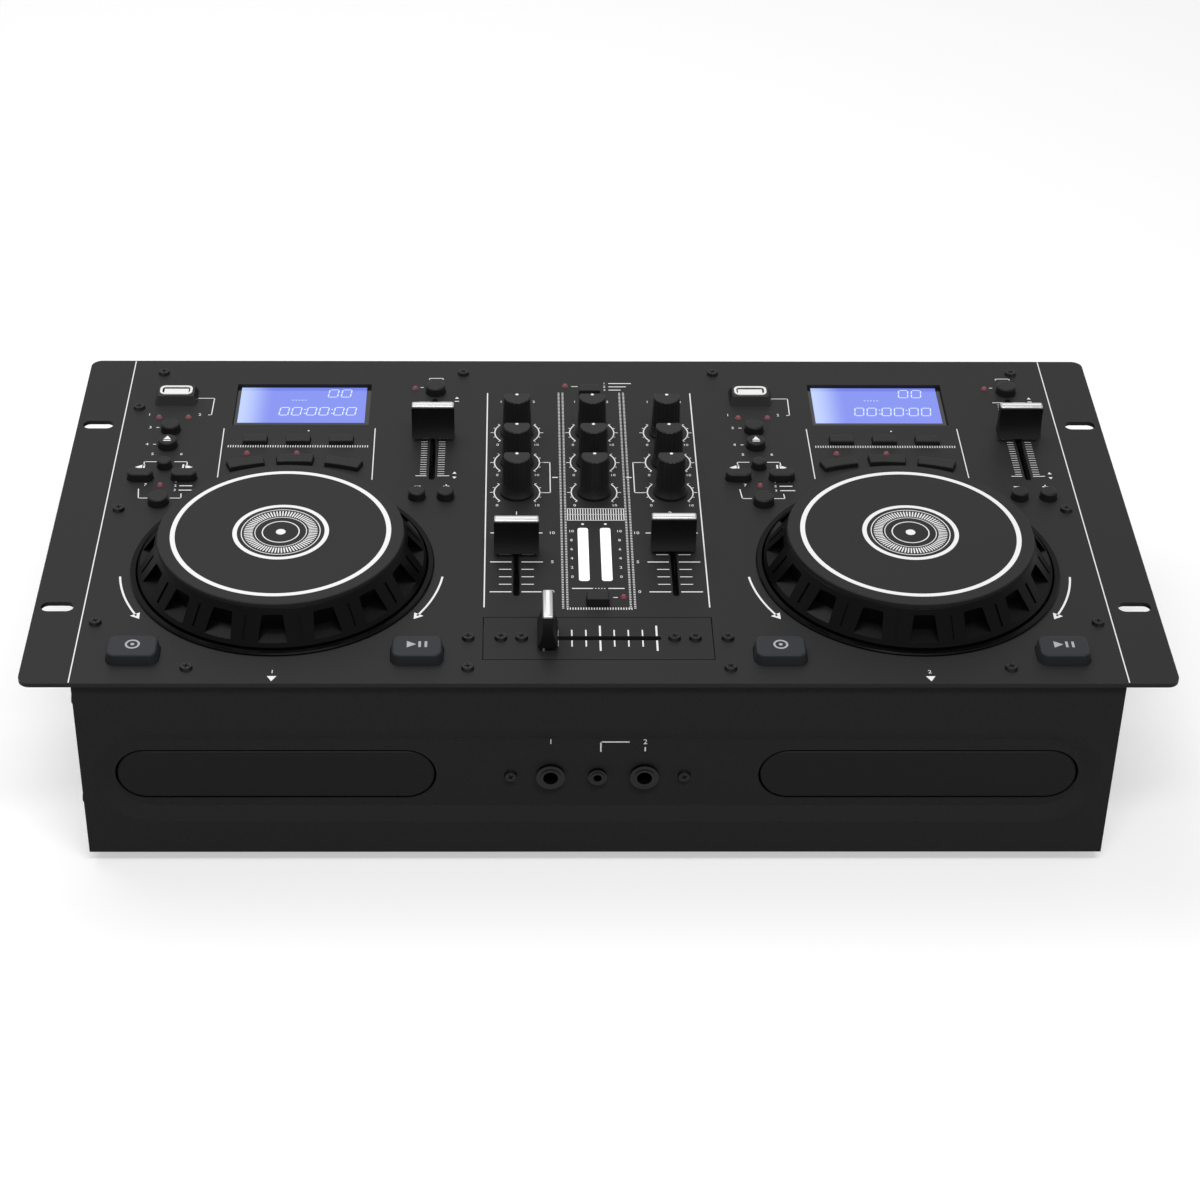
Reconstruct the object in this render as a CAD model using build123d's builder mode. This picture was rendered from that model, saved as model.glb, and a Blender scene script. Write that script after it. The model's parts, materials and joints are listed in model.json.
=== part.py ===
from build123d import *
from math import cos, radians, sin, sqrt
import os

os.makedirs("parts", exist_ok=True)

# A two-deck disc player with a two-channel mixer between the decks, on a rack-width top panel.
# Millimetres. +X is to the right, +Y to the back, +Z up. The origin is on the surface that
# the feet stand on, under the middle of the top panel.

# ---------------------------------------------------------------- driving dimensions

# Top panel and housing
panel_w = 482.6
panel_d = 258.5
panel_t = 2.0
panel_corner_r = 5.0
body_w = 439.0
body_d = 248.5
body_h = 91.5
front_setback = 2.0
sheet_t = 1.2
tab_w = 9.0
tab_l = 10.0
front_lip_d = 7.0
front_tab_d = 14.0
front_tab_w = 12.0
seam_gap = 0.1

# Rack ears
ear_slot_w = 6.6
ear_slot_l = 14.2
ear_slot_pitch_x = 463.0
ear_slot_pitch_y = 146.05
ear_slot_mid_y = -2.05

# Feet
foot_h = 6.0
foot_d = 20.0
foot_inset = 32.0

# Pressed trough and openings of the front panel
trough_w = 428.0
trough_h = 50.6
trough_slope = 6.7
trough_depth = 3.0
trough_drop = 51.0
door_w = 135.0
door_h = 24.6
door_t = 3.0
door_drop = 52.5
door_gap = 0.9

# Decks: the two decks are alike, one pitch apart
deck_x = 137.0
jog_y = -44.2
jog_rim_r = 63.0
jog_slope_w = 9.5
jog_top_height = 17.8
rim_height = 2.0
jog_plate_t = 2.2
jog_wall = 2.6
jog_gap = 1.0
jog_well_lip_w = 2.4
jog_well_lip_t = 1.2
jog_well_wall = 1.6
jog_well_depth = 9.0
jog_axle_d = 8.0
jog_bore_gap = 0.05
jog_hub_wall = 3.0
jog_hub_lift = 3.0
jog_foot_drop = 1.0
jog_rim_edge = 1.0
jog_top_edge = 0.4
jog_collar_t = 2.0
scoop_count = 16
scoop_foot_w = 13.0
scoop_top_w = 7.0
scoop_in = 8.0
scoop_floor_height = 6.0
scoop_foot_height = 3.2
rim_groove_w = 1.6
rim_groove_depth = 1.2
rim_groove_l = 10.0
rim_groove_height = 8.8
rim_groove_tilt = 35.0

# Display
window_w = 64.3
window_d = 36.4
window_dx = 0.5
window_y = 89.2
lens_t = 1.5
lens_drop = 1.8
display_frame_w = 3.0
display_frame_t = 6.0

# Keys: travel, the gap round a cap, and the collar that keeps it under the panel
key_travel = 1.0
key_gap = 0.3
key_collar = 0.9
key_collar_t = 1.2
key_stem_d = 3.2
key_edge_r = 0.6
round_key_edge_r = 1.0
round_key_height = 4.0
low_key_height = 2.2

select_d = 8.8
select_at = (-59.9, 66.2)
eject_d = 8.8
eject_at = (-60.0, 52.5)
track_d = 6.6
track_at = (-59.7, 34.9)
jog_mode_d = 9.2
jog_mode_at = (-59.6, 5.2)
pitch_key_d = 9.2
pitch_key_at = (63.6, 100.7)
bend_key_d = 7.6
bend_key_at = ((57.2, 9.7), (70.2, 9.7))
search_key_w = 11.8
search_key_d = 6.2
search_key_at = ((-69.8, 25.2), (-49.9, 25.2))
display_key_w = 11.0
display_key_d = 5.6
display_key_pitch = 20.1
display_key_y = 56.6
loop_key_r_in = 80.5
loop_key_r_out = 86.8
loop_key_arc = 11.4
loop_key_pitch = 15.6

# Start and cue pads, mirrored about the middle of the machine
pad_w = 22.0
pad_d = 15.4
pad_h = 4.8
pad_corner_r = 4.0
pad_taper = 8.0
pad_edge_r = 1.0
pad_outer_x = 195.3
pad_inner_x = 76.3
pad_y = -109.0

# Small lamps
lamp_d = 3.0
lamp_proud = 0.9
lamp_gap = 0.05
deck_lamp_at = ((-66.6, 77.5), (-52.8, 77.5), (-60.2, 19.4), (-22.8, 46.3), (0.4, 46.3), (53.7, 103.9))
mixer_lamp_at = ((-11.3, 106.1), (11.7, -67.7))
meter_w = 4.6
meter_l = 40.6
meter_x = 5.0
meter_y = -35.6
meter_corner_r = 1.2
meter_proud = 0.2

# USB sockets
usb_at = (-59.9, 95.2)
usb_base_w = 20.0
usb_base_d = 15.0
usb_top_w = 17.4
usb_top_d = 10.4
usb_height = 4.0
usb_mouth_w = 12.5
usb_mouth_d = 5.1
usb_shell_t = 0.4
usb_depth = 12.0
usb_tongue_w = 11.1
usb_tongue_t = 1.9
usb_tongue_drop = 0.6
usb_corner_r = 1.5

# Faders: a cap on a lever that runs in a slot
cap_w = 19.8
cap_base_d = 8.8
cap_ridge_d = 5.2
cap_base_height = 2.2
cap_top_height = 17.5
cap_waist_d = 4.4
lever_w = 4.0
lever_t = 1.2
lever_in_cap = 8.0
fader_slot_w = 2.8
fader_end_gap = 2.3
fader_body_w = 9.0
fader_body_h = 7.0
fader_body_wall = 1.4
fader_body_over = 3.2
fader_floor_gap = 0.8
pitch_travel = 64.0
pitch_fader_dx = 63.5
pitch_fader_y = 59.2
pitch_rest = 0.8
channel_travel = 45.0
channel_fader_x = 34.6
channel_fader_y = -41.5
channel_rest = (7.3, 9.5)
cross_travel = 45.0
cross_fader_x = 1.1
cross_fader_y = -97.7
cross_rest = -22.5

# Crossfader plate, a separate cover let into the panel
cross_plate_w = 97.0
cross_plate_d = 29.5
cross_plate_gap = 0.4
cross_plate_screw_x = (32.4, 41.2)
carrier_t = 1.6
carrier_over = 6.0
carrier_in = 3.0

# Rotary knobs on the mixer
knob_x = (-34.4, 0.7, 35.4)
knob_y = (64.2, 38.5, 13.6)
knob_h = 20.0
knob_top_d = 12.2
knob_waist_d = 13.4
knob_skirt_d = 15.6
knob_skirt_h = 4.6
knob_lift = 0.6
knob_flat = 2.6
knob_flat_h = 14.5
knob_flutes = 18
knob_flute_r = 0.6
knob_flute_out = 0.35
knob_flute_lift = 0.6
knob_skirt_bow = 0.4
knob_skirt_bow_at = 0.55
pot_shaft_d = 6.0
pot_bush_d = 8.6
pot_gap = 0.1
pot_body_w = 11.0
pot_body_h = 7.0
pot_shaft_in_knob = 11.0
pot_floor_t = 2.0
knob_foot_edge = 0.8
knob_top_edge = 0.4

# Mixer keys
source_key_w = 9.4
source_key_d = 5.6
source_key_at = (0.4, 98.6)
relay_key_w = 9.4
relay_key_d = 6.2
relay_key_at = (0.5, -71.6)

# Circuit boards under the panel
board_t = 1.6
board_drop = 10.0
board_well_gap = 2.0
deck_board_w = 158.0
deck_board_front = -119.0
deck_board_back = 111.5
mixer_board_w = 104.0
mixer_board_front = -79.0
switch_w = 6.0
switch_h = 3.6
stem_gap = 0.3
standoff_d = 5.0
deck_post_in = (6.0, 22.0, 40.0)
mixer_post_in = (6.0, 4.0, 6.0)

# Disc trays and loaders
tray_w = 127.0
tray_l = 168.0
tray_t = 3.0
tray_rim_h = 5.0
disc_d = 121.0
small_disc_d = 81.0
small_disc_recess = 1.4
disc_dy = 66.0
hub_slot_w = 36.0
tray_foot_w = 4.0
tray_foot_h = 3.0
tray_foot_in = 4.0
tray_corner_r = 3.0
tray_under_door = 4.0
door_edge = 0.4
loader_gap = 0.4
loader_wall = 2.0
loader_lip = 4.0
loader_h = 18.0
loader_l = 168.0
loader_post_d = 10.0
loader_in = 4.0
loader_post_in = 7.0
hub_d = 28.0
hub_nose_d = 14.6
hub_nose_h = 1.4
pickup_w = 24.0
pickup_l = 18.0
pickup_h = 3.8
pickup_gap = 2.0
pickup_lens_d = 5.0
pickup_lens_h = 1.0

# Front sockets and screws, from the middle of the front panel
jack_dx = 20.0
front_screw_dx = 37.0
jack_drop = 53.0
jack_bore_d = 6.4
jack_bush_d = 9.0
jack_nut_d = 12.4
jack_nut_t = 2.2
jack_body_w = 13.0
small_jack_body_w = 9.0
jack_depth = 30.0
jack_carrier_w = 86.0
jack_carrier_h = 18.0
jack_carrier_t = 1.6
small_jack_bore_d = 3.6
small_jack_bush_d = 6.0
small_jack_nut_d = 8.0
small_jack_depth = 15.0
jack_wall_gap = 0.05
jack_bush_proud = 0.3

# Rear sockets, switch and inlet
rca_pitch = 15.0
rca_pair_pitch = 26.0
rca_pairs = 4
rca_first_x = -150.0
rca_height = 62.0
rca_barrel_d = 8.3
rca_bore_d = 3.3
rca_barrel_l = 8.0
rca_rim_d = 11.5
rca_rim_t = 1.4
rca_block_w = 12.0
rca_block_l = 12.0
rca_plate_margin = 9.0
rca_plate_t = 1.0
inlet_x = 176.0
inlet_z = 50.0
inlet_flange_w = 40.0
inlet_flange_h = 26.0
inlet_flange_t = 2.4
inlet_mouth_w = 24.4
inlet_mouth_h = 16.6
inlet_depth = 15.5
inlet_wall = 1.6
inlet_pin_w = 4.0
inlet_pin_t = 2.0
inlet_pin_l = 12.5
inlet_pin_dx = 7.0
inlet_pin_dz = 2.0
rocker_x = 134.0
rocker_w = 12.8
rocker_h = 19.0
rocker_frame_w = 15.0
rocker_frame_h = 21.2
rocker_proud = 2.2
rocker_depth = 9.0
rocker_gap = 0.4
rocker_floor_t = 1.0
rocker_axis_in = 1.0
rocker_foot_in = 3.0
rocker_foot_h = 4.0
rocker_mid_out = 0.6
rocker_face_out = 2.6
rocker_rise = 1.6
rocker_edge = 0.4
rocker_end_gap = 1.2

# Power supply
supply_w = 92.0
supply_d = 62.0
supply_board_h = 8.0
core_w = 50.0
core_d = 42.0
core_h = 40.0
coil_w = 30.0
coil_d = 56.0
coil_drop = 6.0
coil_corner_r = 4.0
core_in = 4.0
supply_back_gap = 8.0
supply_post_in = 5.0
capacitor_d = 16.0
capacitor_h = 26.0
capacitor_pitch = 22.0
capacitor_in = 16.0

# Screws
screw_d = 3.0
screw_hole_gap = 0.2
screw_head_d = 5.6
screw_head_t = 1.5
screw_l = 6.0
side_screw_x = 213.8
side_screw_y = (85.7, -0.5, -86.9)
back_screw_x = (205.2, 60.4)
back_screw_y = 117.3
front_edge_screw_x = (172.2, 54.9)
front_edge_screw_y = -118.8
cross_side_screw_x = 55.0
wall_screw_drop = (13.4, 66.8)
wall_screw_in = 8.0

# ---------------------------------------------------------------- derived places

floor_z = foot_h
panel_under = foot_h + body_h
panel_top = panel_under + panel_t
front_face = front_setback - panel_d / 2
back_face = front_face + body_d
side_x = body_w / 2
tub_inside_x = side_x - sheet_t
tub_front = front_face + sheet_t + seam_gap

deck_xs = (-deck_x, deck_x)
sides = ("left", "right")
jog_top_r = jog_rim_r - jog_slope_w
scoop_back_r = jog_rim_r - scoop_in
jog_well_r = jog_rim_r + jog_gap
jog_hole_r = jog_well_r + jog_well_wall
jog_floor_z = panel_under - jog_well_depth
jog_plate_z = panel_top + jog_top_height - jog_plate_t
door_z = panel_top - door_drop
trough_floor = front_face + trough_depth
jack_z = panel_top - jack_drop
board_top = panel_under - board_drop
board_under = board_top - board_t
switch_top = board_top + switch_h
stem_foot_z = switch_top + key_travel + stem_gap
lens_top = panel_top - lens_drop
display_frame_top = panel_under
tray_z = door_z - tray_under_door
tray_back = trough_floor + door_t + tray_l
disc_y = trough_floor + door_t + disc_dy
shank_hole_d = screw_d + 2 * screw_hole_gap


def save(node, name):
    """Label one finished sub-part and write its STEP file."""
    node.label = name
    export_step(node, "parts/" + name + ".step")


def save_group(name, *solids):
    """Write pieces that touch, or that lie apart, as separate solids of one node."""
    save(Compound(label=name, children=list(solids)), name)


def on_deck(at, centre_x):
    """Turn a place given from the middle of a deck into a place on the panel."""
    return (centre_x + at[0], at[1])


def loop_key_outline(angle, grow):
    """The outline of one of the keys on an arc round the jog wheel, about the wheel's axis."""
    r_in = loop_key_r_in - grow
    r_out = loop_key_r_out + grow
    half = radians(loop_key_arc / 2) + grow / r_in
    turns = [radians(90 + angle) + step * half for step in (-1, 0, 1)]
    inner = [(r_in * cos(turn), r_in * sin(turn)) for turn in turns]
    outer = [(r_out * cos(turn), r_out * sin(turn)) for turn in turns]
    with BuildSketch() as outline:
        with BuildLine():
            ThreePointArc(*inner)
            Line(inner[2], outer[2])
            ThreePointArc(*reversed(outer))
            Line(outer[0], inner[0])
        make_face()
    return outline.sketch


def loop_key_angles():
    return [loop_key_pitch * step for step in (1, 0, -1)]


def display_key_places(centre_x):
    return [(centre_x + window_dx + display_key_pitch * step, display_key_y) for step in (-1, 0, 1)]


# ---------------------------------------------------------------- top panel

slot_xs = (-ear_slot_pitch_x / 2, ear_slot_pitch_x / 2)
slot_ys = (ear_slot_mid_y - ear_slot_pitch_y / 2, ear_slot_mid_y + ear_slot_pitch_y / 2)
pad_places = [(x, pad_y) for x in (-pad_outer_x, -pad_inner_x, pad_inner_x, pad_outer_x)]
panel_screw_places = (
    [(x, y) for x in (-side_screw_x, side_screw_x) for y in side_screw_y]
    + [(sign * x, back_screw_y) for sign in (-1, 1) for x in back_screw_x]
    + [(sign * x, front_edge_screw_y) for sign in (-1, 1) for x in front_edge_screw_x]
)
cross_screw_places = [(sign * x, cross_fader_y) for sign in (-1, 1) for x in cross_plate_screw_x]
carrier_screw_places = [(sign * cross_side_screw_x, cross_fader_y) for sign in (-1, 1)]
pitch_slot_l = pitch_travel + lever_w + fader_end_gap
channel_slot_l = channel_travel + lever_w + fader_end_gap
cross_slot_l = cross_travel + lever_w + fader_end_gap

with BuildPart() as top_panel:
    with BuildSketch(Plane.XY.offset(panel_under)):
        RectangleRounded(panel_w, panel_d, panel_corner_r)
        with Locations(*[(x, y) for x in slot_xs for y in slot_ys]):
            SlotOverall(ear_slot_l, ear_slot_w, mode=Mode.SUBTRACT)
        with Locations(*panel_screw_places, *carrier_screw_places):
            Circle(shank_hole_d / 2, mode=Mode.SUBTRACT)
        with Locations((0, cross_fader_y)):
            Rectangle(
                cross_plate_w + 2 * cross_plate_gap,
                cross_plate_d + 2 * cross_plate_gap,
                mode=Mode.SUBTRACT,
            )
        with Locations(*pad_places):
            RectangleRounded(
                pad_w + 2 * key_gap, pad_d + 2 * key_gap, pad_corner_r + key_gap, mode=Mode.SUBTRACT
            )
        with Locations(*[(x, y) for x in knob_x for y in knob_y]):
            Circle(pot_bush_d / 2 + pot_gap, mode=Mode.SUBTRACT)
        with Locations(source_key_at):
            Rectangle(source_key_w + 2 * key_gap, source_key_d + 2 * key_gap, mode=Mode.SUBTRACT)
        with Locations(relay_key_at):
            Rectangle(relay_key_w + 2 * key_gap, relay_key_d + 2 * key_gap, mode=Mode.SUBTRACT)
        with Locations(*[(x, channel_fader_y) for x in (-channel_fader_x, channel_fader_x)]):
            SlotOverall(channel_slot_l, fader_slot_w, rotation=90, mode=Mode.SUBTRACT)
        with Locations(*mixer_lamp_at):
            Circle(lamp_d / 2 + lamp_gap, mode=Mode.SUBTRACT)
        with Locations(*[(x, meter_y) for x in (-meter_x, meter_x)]):
            RectangleRounded(
                meter_w + 2 * lamp_gap, meter_l + 2 * lamp_gap, meter_corner_r, mode=Mode.SUBTRACT
            )
        for x in deck_xs:
            with Locations((x, jog_y)):
                Circle(jog_hole_r + seam_gap, mode=Mode.SUBTRACT)
            with Locations((x + window_dx, window_y)):
                Rectangle(window_w, window_d, mode=Mode.SUBTRACT)
            for diameter, at in (
                (select_d, select_at),
                (eject_d, eject_at),
                (track_d, track_at),
                (jog_mode_d, jog_mode_at),
                (pitch_key_d, pitch_key_at),
                (bend_key_d, bend_key_at[0]),
                (bend_key_d, bend_key_at[1]),
            ):
                with Locations(on_deck(at, x)):
                    Circle(diameter / 2 + key_gap, mode=Mode.SUBTRACT)
            with Locations(*[on_deck(at, x) for at in search_key_at]):
                SlotOverall(search_key_w + 2 * key_gap, search_key_d + 2 * key_gap, mode=Mode.SUBTRACT)
            with Locations(*display_key_places(x)):
                Rectangle(
                    display_key_w + 2 * key_gap, display_key_d + 2 * key_gap, mode=Mode.SUBTRACT
                )
            with Locations(on_deck(usb_at, x)):
                Rectangle(
                    usb_top_w - 2 * usb_shell_t, usb_top_d - 2 * usb_shell_t, mode=Mode.SUBTRACT
                )
            with Locations((x + pitch_fader_dx, pitch_fader_y)):
                SlotOverall(pitch_slot_l, fader_slot_w, rotation=90, mode=Mode.SUBTRACT)
            with Locations(*[on_deck(at, x) for at in deck_lamp_at]):
                Circle(lamp_d / 2 + lamp_gap, mode=Mode.SUBTRACT)
    extrude(amount=panel_t)
    for x in deck_xs:
        with BuildSketch(Plane.XY.offset(panel_under).move(Location((x, jog_y, 0)))):
            for angle in loop_key_angles():
                add(loop_key_outline(angle, key_gap))
        extrude(amount=panel_t, mode=Mode.SUBTRACT)
save(top_panel.part, "top_panel")

# ---------------------------------------------------------------- housing

inlet_hole_w = inlet_mouth_w + 2 * inlet_wall + 2 * seam_gap
inlet_hole_h = inlet_mouth_h + 2 * inlet_wall + 2 * seam_gap
rca_xs = [
    rca_first_x + pair * rca_pair_pitch for pair in range(rca_pairs)
]
rca_zs = (rca_height - rca_pitch / 2, rca_height + rca_pitch / 2)
wall_screw_zs = [panel_under - drop for drop in wall_screw_drop]
foot_places = [
    (sign_x * (side_x - foot_inset), y)
    for sign_x in (-1, 1)
    for y in (front_face + foot_inset, back_face - foot_inset)
]
back_inside = back_face - sheet_t

with BuildPart() as chassis_tub:
    # floor and two walls bent up from one sheet
    with BuildSketch(Plane.XY.offset(floor_z)):
        with Locations((0, (tub_front + back_face) / 2)):
            Rectangle(body_w, back_face - tub_front)
    extrude(amount=body_h)
    with BuildSketch(Plane.XY.offset(floor_z + sheet_t)):
        with Locations((0, (tub_front + back_face) / 2)):
            Rectangle(2 * tub_inside_x, back_face - tub_front)
    extrude(amount=body_h, mode=Mode.SUBTRACT)
    # tabs turned in under the panel for its screws
    with BuildSketch(Plane.XY.offset(panel_under)):
        with Locations(*[(sign * (tub_inside_x - tab_w / 2), y) for sign in (-1, 1) for y in side_screw_y]):
            Rectangle(tab_w, tab_l)
    extrude(amount=-sheet_t)
    with Locations(*[(x, y, panel_under) for x, y in panel_screw_places]):
        Cylinder(screw_d / 2, 4 * sheet_t, mode=Mode.SUBTRACT)
    # screw holes of the walls
    with Locations(*[(0, front_face + wall_screw_in, z) for z in wall_screw_zs]):
        Cylinder(shank_hole_d / 2, 2 * body_w, rotation=(0, 90, 0), mode=Mode.SUBTRACT)
with BuildPart() as back_wall:
    # a plate that stands on the floor between the walls, with its own tabs
    with BuildSketch(Plane.XZ.offset(-back_face)):
        with Locations((0, (floor_z + sheet_t + panel_under) / 2)):
            Rectangle(2 * tub_inside_x, panel_under - floor_z - sheet_t)
    extrude(amount=sheet_t)
    with BuildSketch(Plane.XY.offset(panel_under)):
        with Locations(*[(sign * x, back_inside - tab_w / 2) for sign in (-1, 1) for x in back_screw_x]):
            Rectangle(tab_l, tab_w)
    extrude(amount=-sheet_t)
    with Locations(*[(x, y, panel_under) for x, y in panel_screw_places]):
        Cylinder(screw_d / 2, 4 * sheet_t, mode=Mode.SUBTRACT)
    # openings for the sockets, the inlet and the switch
    with BuildSketch(Plane.XZ.offset(-back_face)):
        with Locations((inlet_x, inlet_z)):
            Rectangle(inlet_hole_w, inlet_hole_h)
        with Locations((rocker_x, inlet_z)):
            Rectangle(rocker_frame_w - 2 * sheet_t + seam_gap, rocker_frame_h - 2 * sheet_t + seam_gap)
        with Locations(*[(x, z) for x in rca_xs for z in rca_zs]):
            Circle(rca_barrel_d / 2 + 2 * seam_gap)
    extrude(amount=2 * sheet_t, both=True, mode=Mode.SUBTRACT)
save_group("chassis_tub", chassis_tub.part, back_wall.part)

# ---------------------------------------------------------------- pressed front panel

trough_z = panel_top - trough_drop
flange_x = tub_inside_x - seam_gap
front_flange_d = 15.0


with BuildPart() as front_panel:
    with BuildSketch(Plane.XZ.offset(-front_face)):
        with Locations((0, floor_z + body_h / 2)):
            Rectangle(body_w, body_h)
    extrude(amount=-sheet_t)
    # the pressing: its back first, then its face
    for skin, mode in ((sheet_t, Mode.ADD), (0.0, Mode.SUBTRACT)):
        for plane_y, shrink in ((front_face, 0.0), (trough_floor, trough_slope)):
            with BuildSketch(Plane.XZ.offset(-(plane_y + skin))):
                with Locations((0, trough_z)):
                    SlotOverall(trough_w - 2 * shrink, trough_h - 2 * shrink)
        loft(mode=mode)
    # return flanges along both sides, the top and the floor
    for sign in (-1, 1):
        with BuildSketch(Plane.XZ.offset(-front_face)):
            with Locations((sign * (flange_x - sheet_t / 2), floor_z + body_h / 2)):
                Rectangle(sheet_t, body_h - 2 * sheet_t - 2 * seam_gap)
        extrude(amount=-front_flange_d)
    with BuildSketch(Plane.XY.offset(panel_under)):
        with Locations((0, front_face + front_lip_d / 2)):
            Rectangle(2 * flange_x, front_lip_d)
        with Locations(
            *[(sign * x, front_face + front_tab_d / 2) for sign in (-1, 1) for x in front_edge_screw_x]
        ):
            Rectangle(front_tab_w, front_tab_d)
    extrude(amount=-sheet_t)
    with Locations(*[(x, y, panel_under) for x, y in panel_screw_places]):
        Cylinder(screw_d / 2, 4 * sheet_t, mode=Mode.SUBTRACT)
    # doors, sockets and screws
    with BuildSketch(Plane.XZ.offset(-front_face)):
        with Locations(*[(x, door_z) for x in deck_xs]):
            SlotOverall(door_w + 2 * door_gap, door_h + 2 * door_gap)
        with Locations((-jack_dx, jack_z), (jack_dx, jack_z)):
            Circle(jack_bush_d / 2 + jack_wall_gap)
        with Locations((0, jack_z)):
            Circle(small_jack_bush_d / 2 + jack_wall_gap)
        with Locations((-front_screw_dx, jack_z), (front_screw_dx, jack_z)):
            Circle(shank_hole_d / 2)
    extrude(amount=-(trough_depth + 2 * sheet_t), mode=Mode.SUBTRACT)
    with Locations(*[(0, front_face + wall_screw_in, z) for z in wall_screw_zs]):
        Cylinder(screw_d / 2, body_w, rotation=(0, 90, 0), mode=Mode.SUBTRACT)
save(front_panel.part, "front_panel")

# ---------------------------------------------------------------- feet

with BuildPart() as feet:
    with BuildSketch():
        with Locations(*foot_places):
            Circle(foot_d / 2)
    extrude(amount=foot_h, taper=6)
    with Locations(*[(x, y, 0) for x, y in foot_places]):
        Cylinder(foot_d / 5, foot_h / 2, align=(Align.CENTER, Align.CENTER, Align.MIN), mode=Mode.SUBTRACT)
save(feet.part, "feet")

# ---------------------------------------------------------------- jog wheels

hub_d_out = jog_axle_d + 2 * jog_hub_wall
hub_foot_z = jog_floor_z + jog_hub_lift
wheel_foot_z = panel_top - jog_foot_drop


def scoop_space():
    """The space of one finger scoop: an upright back, a sloping floor, wider at its foot."""
    foot = panel_top + rim_height
    floor_drop = scoop_floor_height - scoop_foot_height
    with BuildPart() as space:
        with BuildSketch(Plane.YZ.offset(scoop_back_r)):
            with BuildLine():
                Polyline(
                    (-scoop_foot_w / 2, foot),
                    (scoop_foot_w / 2, foot),
                    (scoop_top_w / 2, panel_top + jog_top_height),
                    (-scoop_top_w / 2, panel_top + jog_top_height),
                    close=True,
                )
            make_face()
        extrude(amount=2 * scoop_in)
        start = (scoop_back_r, 0, panel_top + scoop_floor_height)
        split(bisect_by=Plane(origin=start, z_dir=(floor_drop, 0, scoop_in)), keep=Keep.TOP)
    return space.part


scoop = scoop_space()


def jog_wheel(centre_x):
    """A finger-scooped wheel and the flat plate on top of it."""
    top = jog_plate_z
    bore = jog_axle_d / 2 + jog_bore_gap
    with BuildPart() as wheel:
        # half section: hub, web, sloping side, rim
        with BuildSketch(Plane.XZ):
            with BuildLine():
                Polyline(
                    (bore, hub_foot_z),
                    (hub_d_out / 2, hub_foot_z),
                    (hub_d_out / 2, top - jog_wall),
                    (jog_top_r - 5 * jog_wall, top - jog_wall),
                    (jog_rim_r - 2.4 * jog_wall, wheel_foot_z),
                    (jog_rim_r - jog_rim_edge, wheel_foot_z),
                    (jog_rim_r, wheel_foot_z + jog_rim_edge),
                    (jog_rim_r, panel_top + rim_height),
                    (jog_top_r + jog_top_edge / 2, top - jog_top_edge),
                    (jog_top_r - jog_top_edge, top),
                    (bore, top),
                    close=True,
                )
            make_face()
        revolve(axis=Axis.Z)
        with PolarLocations(0, scoop_count, start_angle=-90):
            add(scoop, mode=Mode.SUBTRACT)
        with PolarLocations(
            (jog_rim_r + jog_top_r + rim_groove_depth) / 2,
            scoop_count,
            start_angle=-90 + 180 / scoop_count,
        ):
            with Locations(Location((0, 0, panel_top + rim_groove_height), (0, -rim_groove_tilt, 0))):
                Box(2 * rim_groove_depth, rim_groove_w, rim_groove_l, mode=Mode.SUBTRACT)
    with BuildPart() as plate:
        with BuildSketch(Plane.XY.offset(jog_plate_z)):
            Circle(jog_top_r)
        extrude(amount=jog_plate_t)
        chamfer(plate.faces().sort_by(Axis.Z)[-1].edges(), jog_top_edge)
    place = Location((centre_x, jog_y, 0))
    return wheel.part.moved(place), plate.part.moved(place)


def jog_well(centre_x):
    """The cup that holds the wheel: a lip on the panel, a wall and a floor with a boss."""
    with BuildPart() as well:
        with BuildSketch(Plane.XY.offset(panel_top).move(Location((centre_x, jog_y, 0)))):
            Circle(jog_well_r + jog_well_lip_w)
            Circle(jog_well_r, mode=Mode.SUBTRACT)
        extrude(amount=jog_well_lip_t)
        chamfer(well.edges().filter_by(GeomType.CIRCLE).group_by(Axis.Z)[-1].sort_by(SortBy.RADIUS)[-1], 0.5)
        with BuildSketch(Plane.XY.offset(jog_floor_z - jog_well_wall).move(Location((centre_x, jog_y, 0)))):
            Circle(jog_hole_r)
        extrude(amount=panel_top - jog_floor_z + jog_well_wall)
        with BuildSketch(Plane.XY.offset(jog_floor_z).move(Location((centre_x, jog_y, 0)))):
            Circle(jog_well_r)
            Circle(jog_axle_d, mode=Mode.SUBTRACT)
        extrude(amount=panel_top + jog_well_lip_t - jog_floor_z, mode=Mode.SUBTRACT)
        with BuildSketch(Plane.XY.offset(hub_foot_z - stem_gap).move(Location((centre_x, jog_y, 0)))):
            Circle(jog_well_r)
        extrude(amount=body_h, mode=Mode.SUBTRACT)
        with Locations((centre_x, jog_y, jog_floor_z)):
            Cylinder(jog_axle_d / 2, body_h, mode=Mode.SUBTRACT)
    return well.part


def jog_axle(centre_x):
    """The steel pin that the wheel turns on, with a collar under the well's floor."""
    foot = jog_floor_z - jog_well_wall
    with BuildPart() as axle:
        with BuildSketch(Plane.XY.offset(foot).move(Location((centre_x, jog_y, 0)))):
            Circle(jog_axle_d / 2)
        extrude(amount=jog_plate_z - foot - stem_gap)
        with BuildSketch(Plane.XY.offset(foot).move(Location((centre_x, jog_y, 0)))):
            Circle(jog_axle_d)
        extrude(amount=-jog_collar_t)
    return axle.part


for side, centre in zip(sides, deck_xs):
    save_group("jog_wheel_" + side, *jog_wheel(centre))
save_group("jog_wells", *[jog_well(x) for x in deck_xs], *[jog_axle(x) for x in deck_xs])

# ---------------------------------------------------------------- displays


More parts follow.
